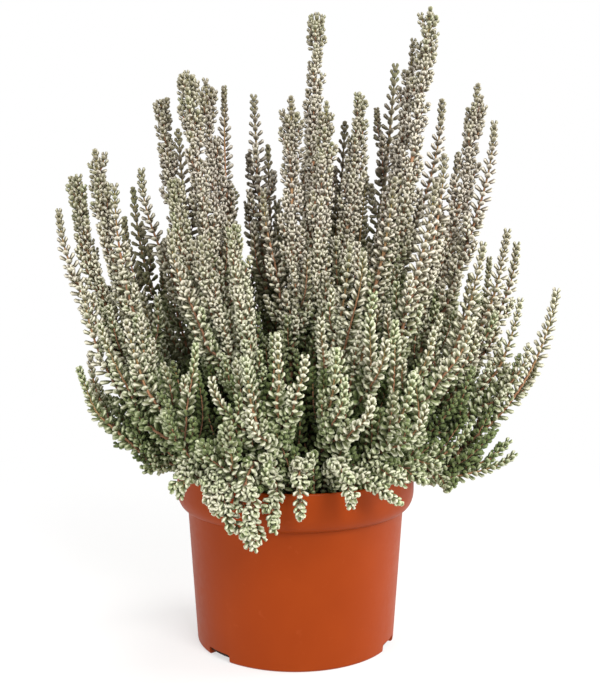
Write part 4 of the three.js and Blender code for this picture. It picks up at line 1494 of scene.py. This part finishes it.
# %% Crumbs on the peat
CRUMB_INPUTS = {
    "Density": 0.8e5,
    "Smallest": 0.3 * MM,
    "Largest": 1.1 * MM,
    "Lowest": (NECK_HEIGHT + 4) * MM,
    "Seed": 5,
}
crumbs, given = new_tree("peat_crumbs", CRUMB_INPUTS)
height = add(crumbs, "ShaderNodeSeparateXYZ", {0: add(crumbs, "GeometryNodeInputPosition")})
above = {0: height.outputs["Z"], 1: given["Lowest"]}
on_top = add(crumbs, "FunctionNodeCompare", above, data_type="FLOAT", operation="GREATER_THAN")
sown = {"Mesh": given["Geometry"], "Selection": on_top}
sown.update({label: given[label] for label in ("Density", "Seed")})
strewn = add(crumbs, "GeometryNodeDistributePointsOnFaces", sown)
turns = {0: (0.0, 0.0, 0.0), 1: (FULL_TURN, FULL_TURN, FULL_TURN), "Seed": given["Seed"]}
any_way = add(crumbs, "FunctionNodeRandomValue", turns, data_type="FLOAT_VECTOR")
sizes = {2: given["Smallest"], 3: given["Largest"], "Seed": given["Seed"]}
crumb_size = add(crumbs, "FunctionNodeRandomValue", sizes, data_type="FLOAT").outputs[1]
one_crumb = add(crumbs, "GeometryNodeObjectInfo", {"Object": crumb}).outputs["Geometry"]
spots = {"Points": strewn, "Instance": one_crumb, "Rotation": any_way, "Scale": crumb_size}
laid = add(crumbs, "GeometryNodeInstanceOnPoints", spots)
topped = add(crumbs, "GeometryNodeJoinGeometry", {"Geometry": given["Geometry"]})
crumbs.links.new(laid.outputs["Instances"], topped.inputs["Geometry"])
loose = add(crumbs, "GeometryNodeRealizeInstances", {"Geometry": topped})
peaty = add(crumbs, "GeometryNodeSetMaterial", {"Geometry": loose, "Material": peat_stuff})
add(crumbs, "NodeGroupOutput", {"Geometry": peaty})
strewer = peat.modifiers.new("peat_crumbs", "NODES")
strewer.node_group = crumbs
strewer[crumbs.interface.items_tree["Seed"].identifier] = CRUMB_INPUTS["Seed"]
settle(peat)
bpy.data.objects.remove(crumb)
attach(peat, "root")
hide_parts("peat")
print("peat faces with crumbs", len(peat.data.polygons))

# %% [markdown]
# ## Floor, light and camera
# A plain floor that fades to white with distance, under a white sky, as in a product picture.
# The view transform is Standard, so that white comes out as white. One large soft lamp from the
# front right and above shapes the bush, and a weaker one fills from the front left. A third
# lights the right edge from the side, and a soft one above and behind lifts the tips off the sky.
# The camera stands where the picture was taken from: about half a metre away, at the height of
# the bush's middle, looking down by nearly six degrees.

# %% Floor
floor_mesh = bpy.data.meshes.new("studio_floor")
floor_mesh.from_pydata([(-6, -6, 0), (6, -6, 0), (6, 6, 0), (-6, 6, 0)], [], [(0, 1, 2, 3)])
floor = new_object("studio_floor", floor_mesh)
paper, tree = new_material("white_paper")
sheet = {"Base Color": colour("#fbfaf8"), "Roughness": 0.9}
surface = add(tree, "ShaderNodeBsdfPrincipled", sheet)
glow = add(tree, "ShaderNodeEmission", {"Color": colour("#ffffff"), "Strength": 1.0})
place = add(tree, "ShaderNodeTexCoord").outputs["Object"]
reach = add(tree, "ShaderNodeVectorMath", {0: place}, operation="LENGTH").outputs["Value"]
fading = {"Value": reach, "From Min": 0.08, "From Max": 0.45, "To Min": 0.55}
fade = add(tree, "ShaderNodeMapRange", fading, interpolation_type="SMOOTHSTEP")
seamless = add(tree, "ShaderNodeMixShader", {0: fade, 1: surface, 2: glow})
add(tree, "ShaderNodeOutputMaterial", {"Surface": seamless})
floor.data.materials.append(paper)
print("floor", tuple(floor.dimensions))

# %% Sky
# The camera sees the sky at full strength, and everything else is lit by it at 0.22.
SKY_LIGHT = 0.22
bpy.context.scene.view_settings.view_transform = "Standard"
world = bpy.data.worlds.new("pale_sky")
bpy.context.scene.world = world
world.use_nodes = True
tree = world.node_tree
tree.nodes.clear()
seen = add(tree, "ShaderNodeLightPath").outputs["Is Camera Ray"]
brighter = {0: seen, 1: 1 - SKY_LIGHT, 2: SKY_LIGHT}
power = add(tree, "ShaderNodeMath", brighter, operation="MULTIPLY_ADD")
sky = add(tree, "ShaderNodeBackground", {"Color": colour("#ffffff"), "Strength": power})
add(tree, "ShaderNodeOutputWorld", {"Surface": sky})
print("world", world.name)


# %% Lamps
def lamp(name, place, aim, size, power):
    """A square soft lamp at a place, aimed at a point."""
    light = bpy.data.lights.new(name, "AREA")
    light.shape = "SQUARE"
    light.size = size
    light.energy = power
    holder = new_object(name, light)
    holder.location = place
    holder.rotation_euler = (Vector(aim) - Vector(place)).to_track_quat("-Z", "Y").to_euler()


lamp("key_light", (0.5, -0.98, 0.9), (0, 0, 0.15), 0.7, 19)
lamp("fill_light", (-0.9, -0.75, 0.5), (0, 0, 0.12), 0.8, 7.5)
lamp("edge_light", (0.95, 0.1, 0.35), (0, 0, 0.06), 0.6, 9)
lamp("top_light", (-0.1, 0.6, 1.3), (0, 0, 0.15), 0.8, 9)

# %% Camera
PICTURE_LONG_SIDE = 683
FOCAL_PIXELS = 1054
SENSOR = 36
CAMERA_PLACE = (2.088 * MM, -484 * MM, 188 * MM)
CAMERA_DIP = 5.775
camera = bpy.data.cameras.new("camera")
camera.sensor_fit = "VERTICAL"
camera.sensor_height = SENSOR
camera.lens = FOCAL_PIXELS / PICTURE_LONG_SIDE * SENSOR
camera.clip_start = 0.01
viewer = new_object("camera", camera)
viewer.location = CAMERA_PLACE
viewer.rotation_euler = (math.radians(90 - CAMERA_DIP), 0, 0)
bpy.context.scene.camera = viewer
print("lens", round(camera.lens, 1), "mm")
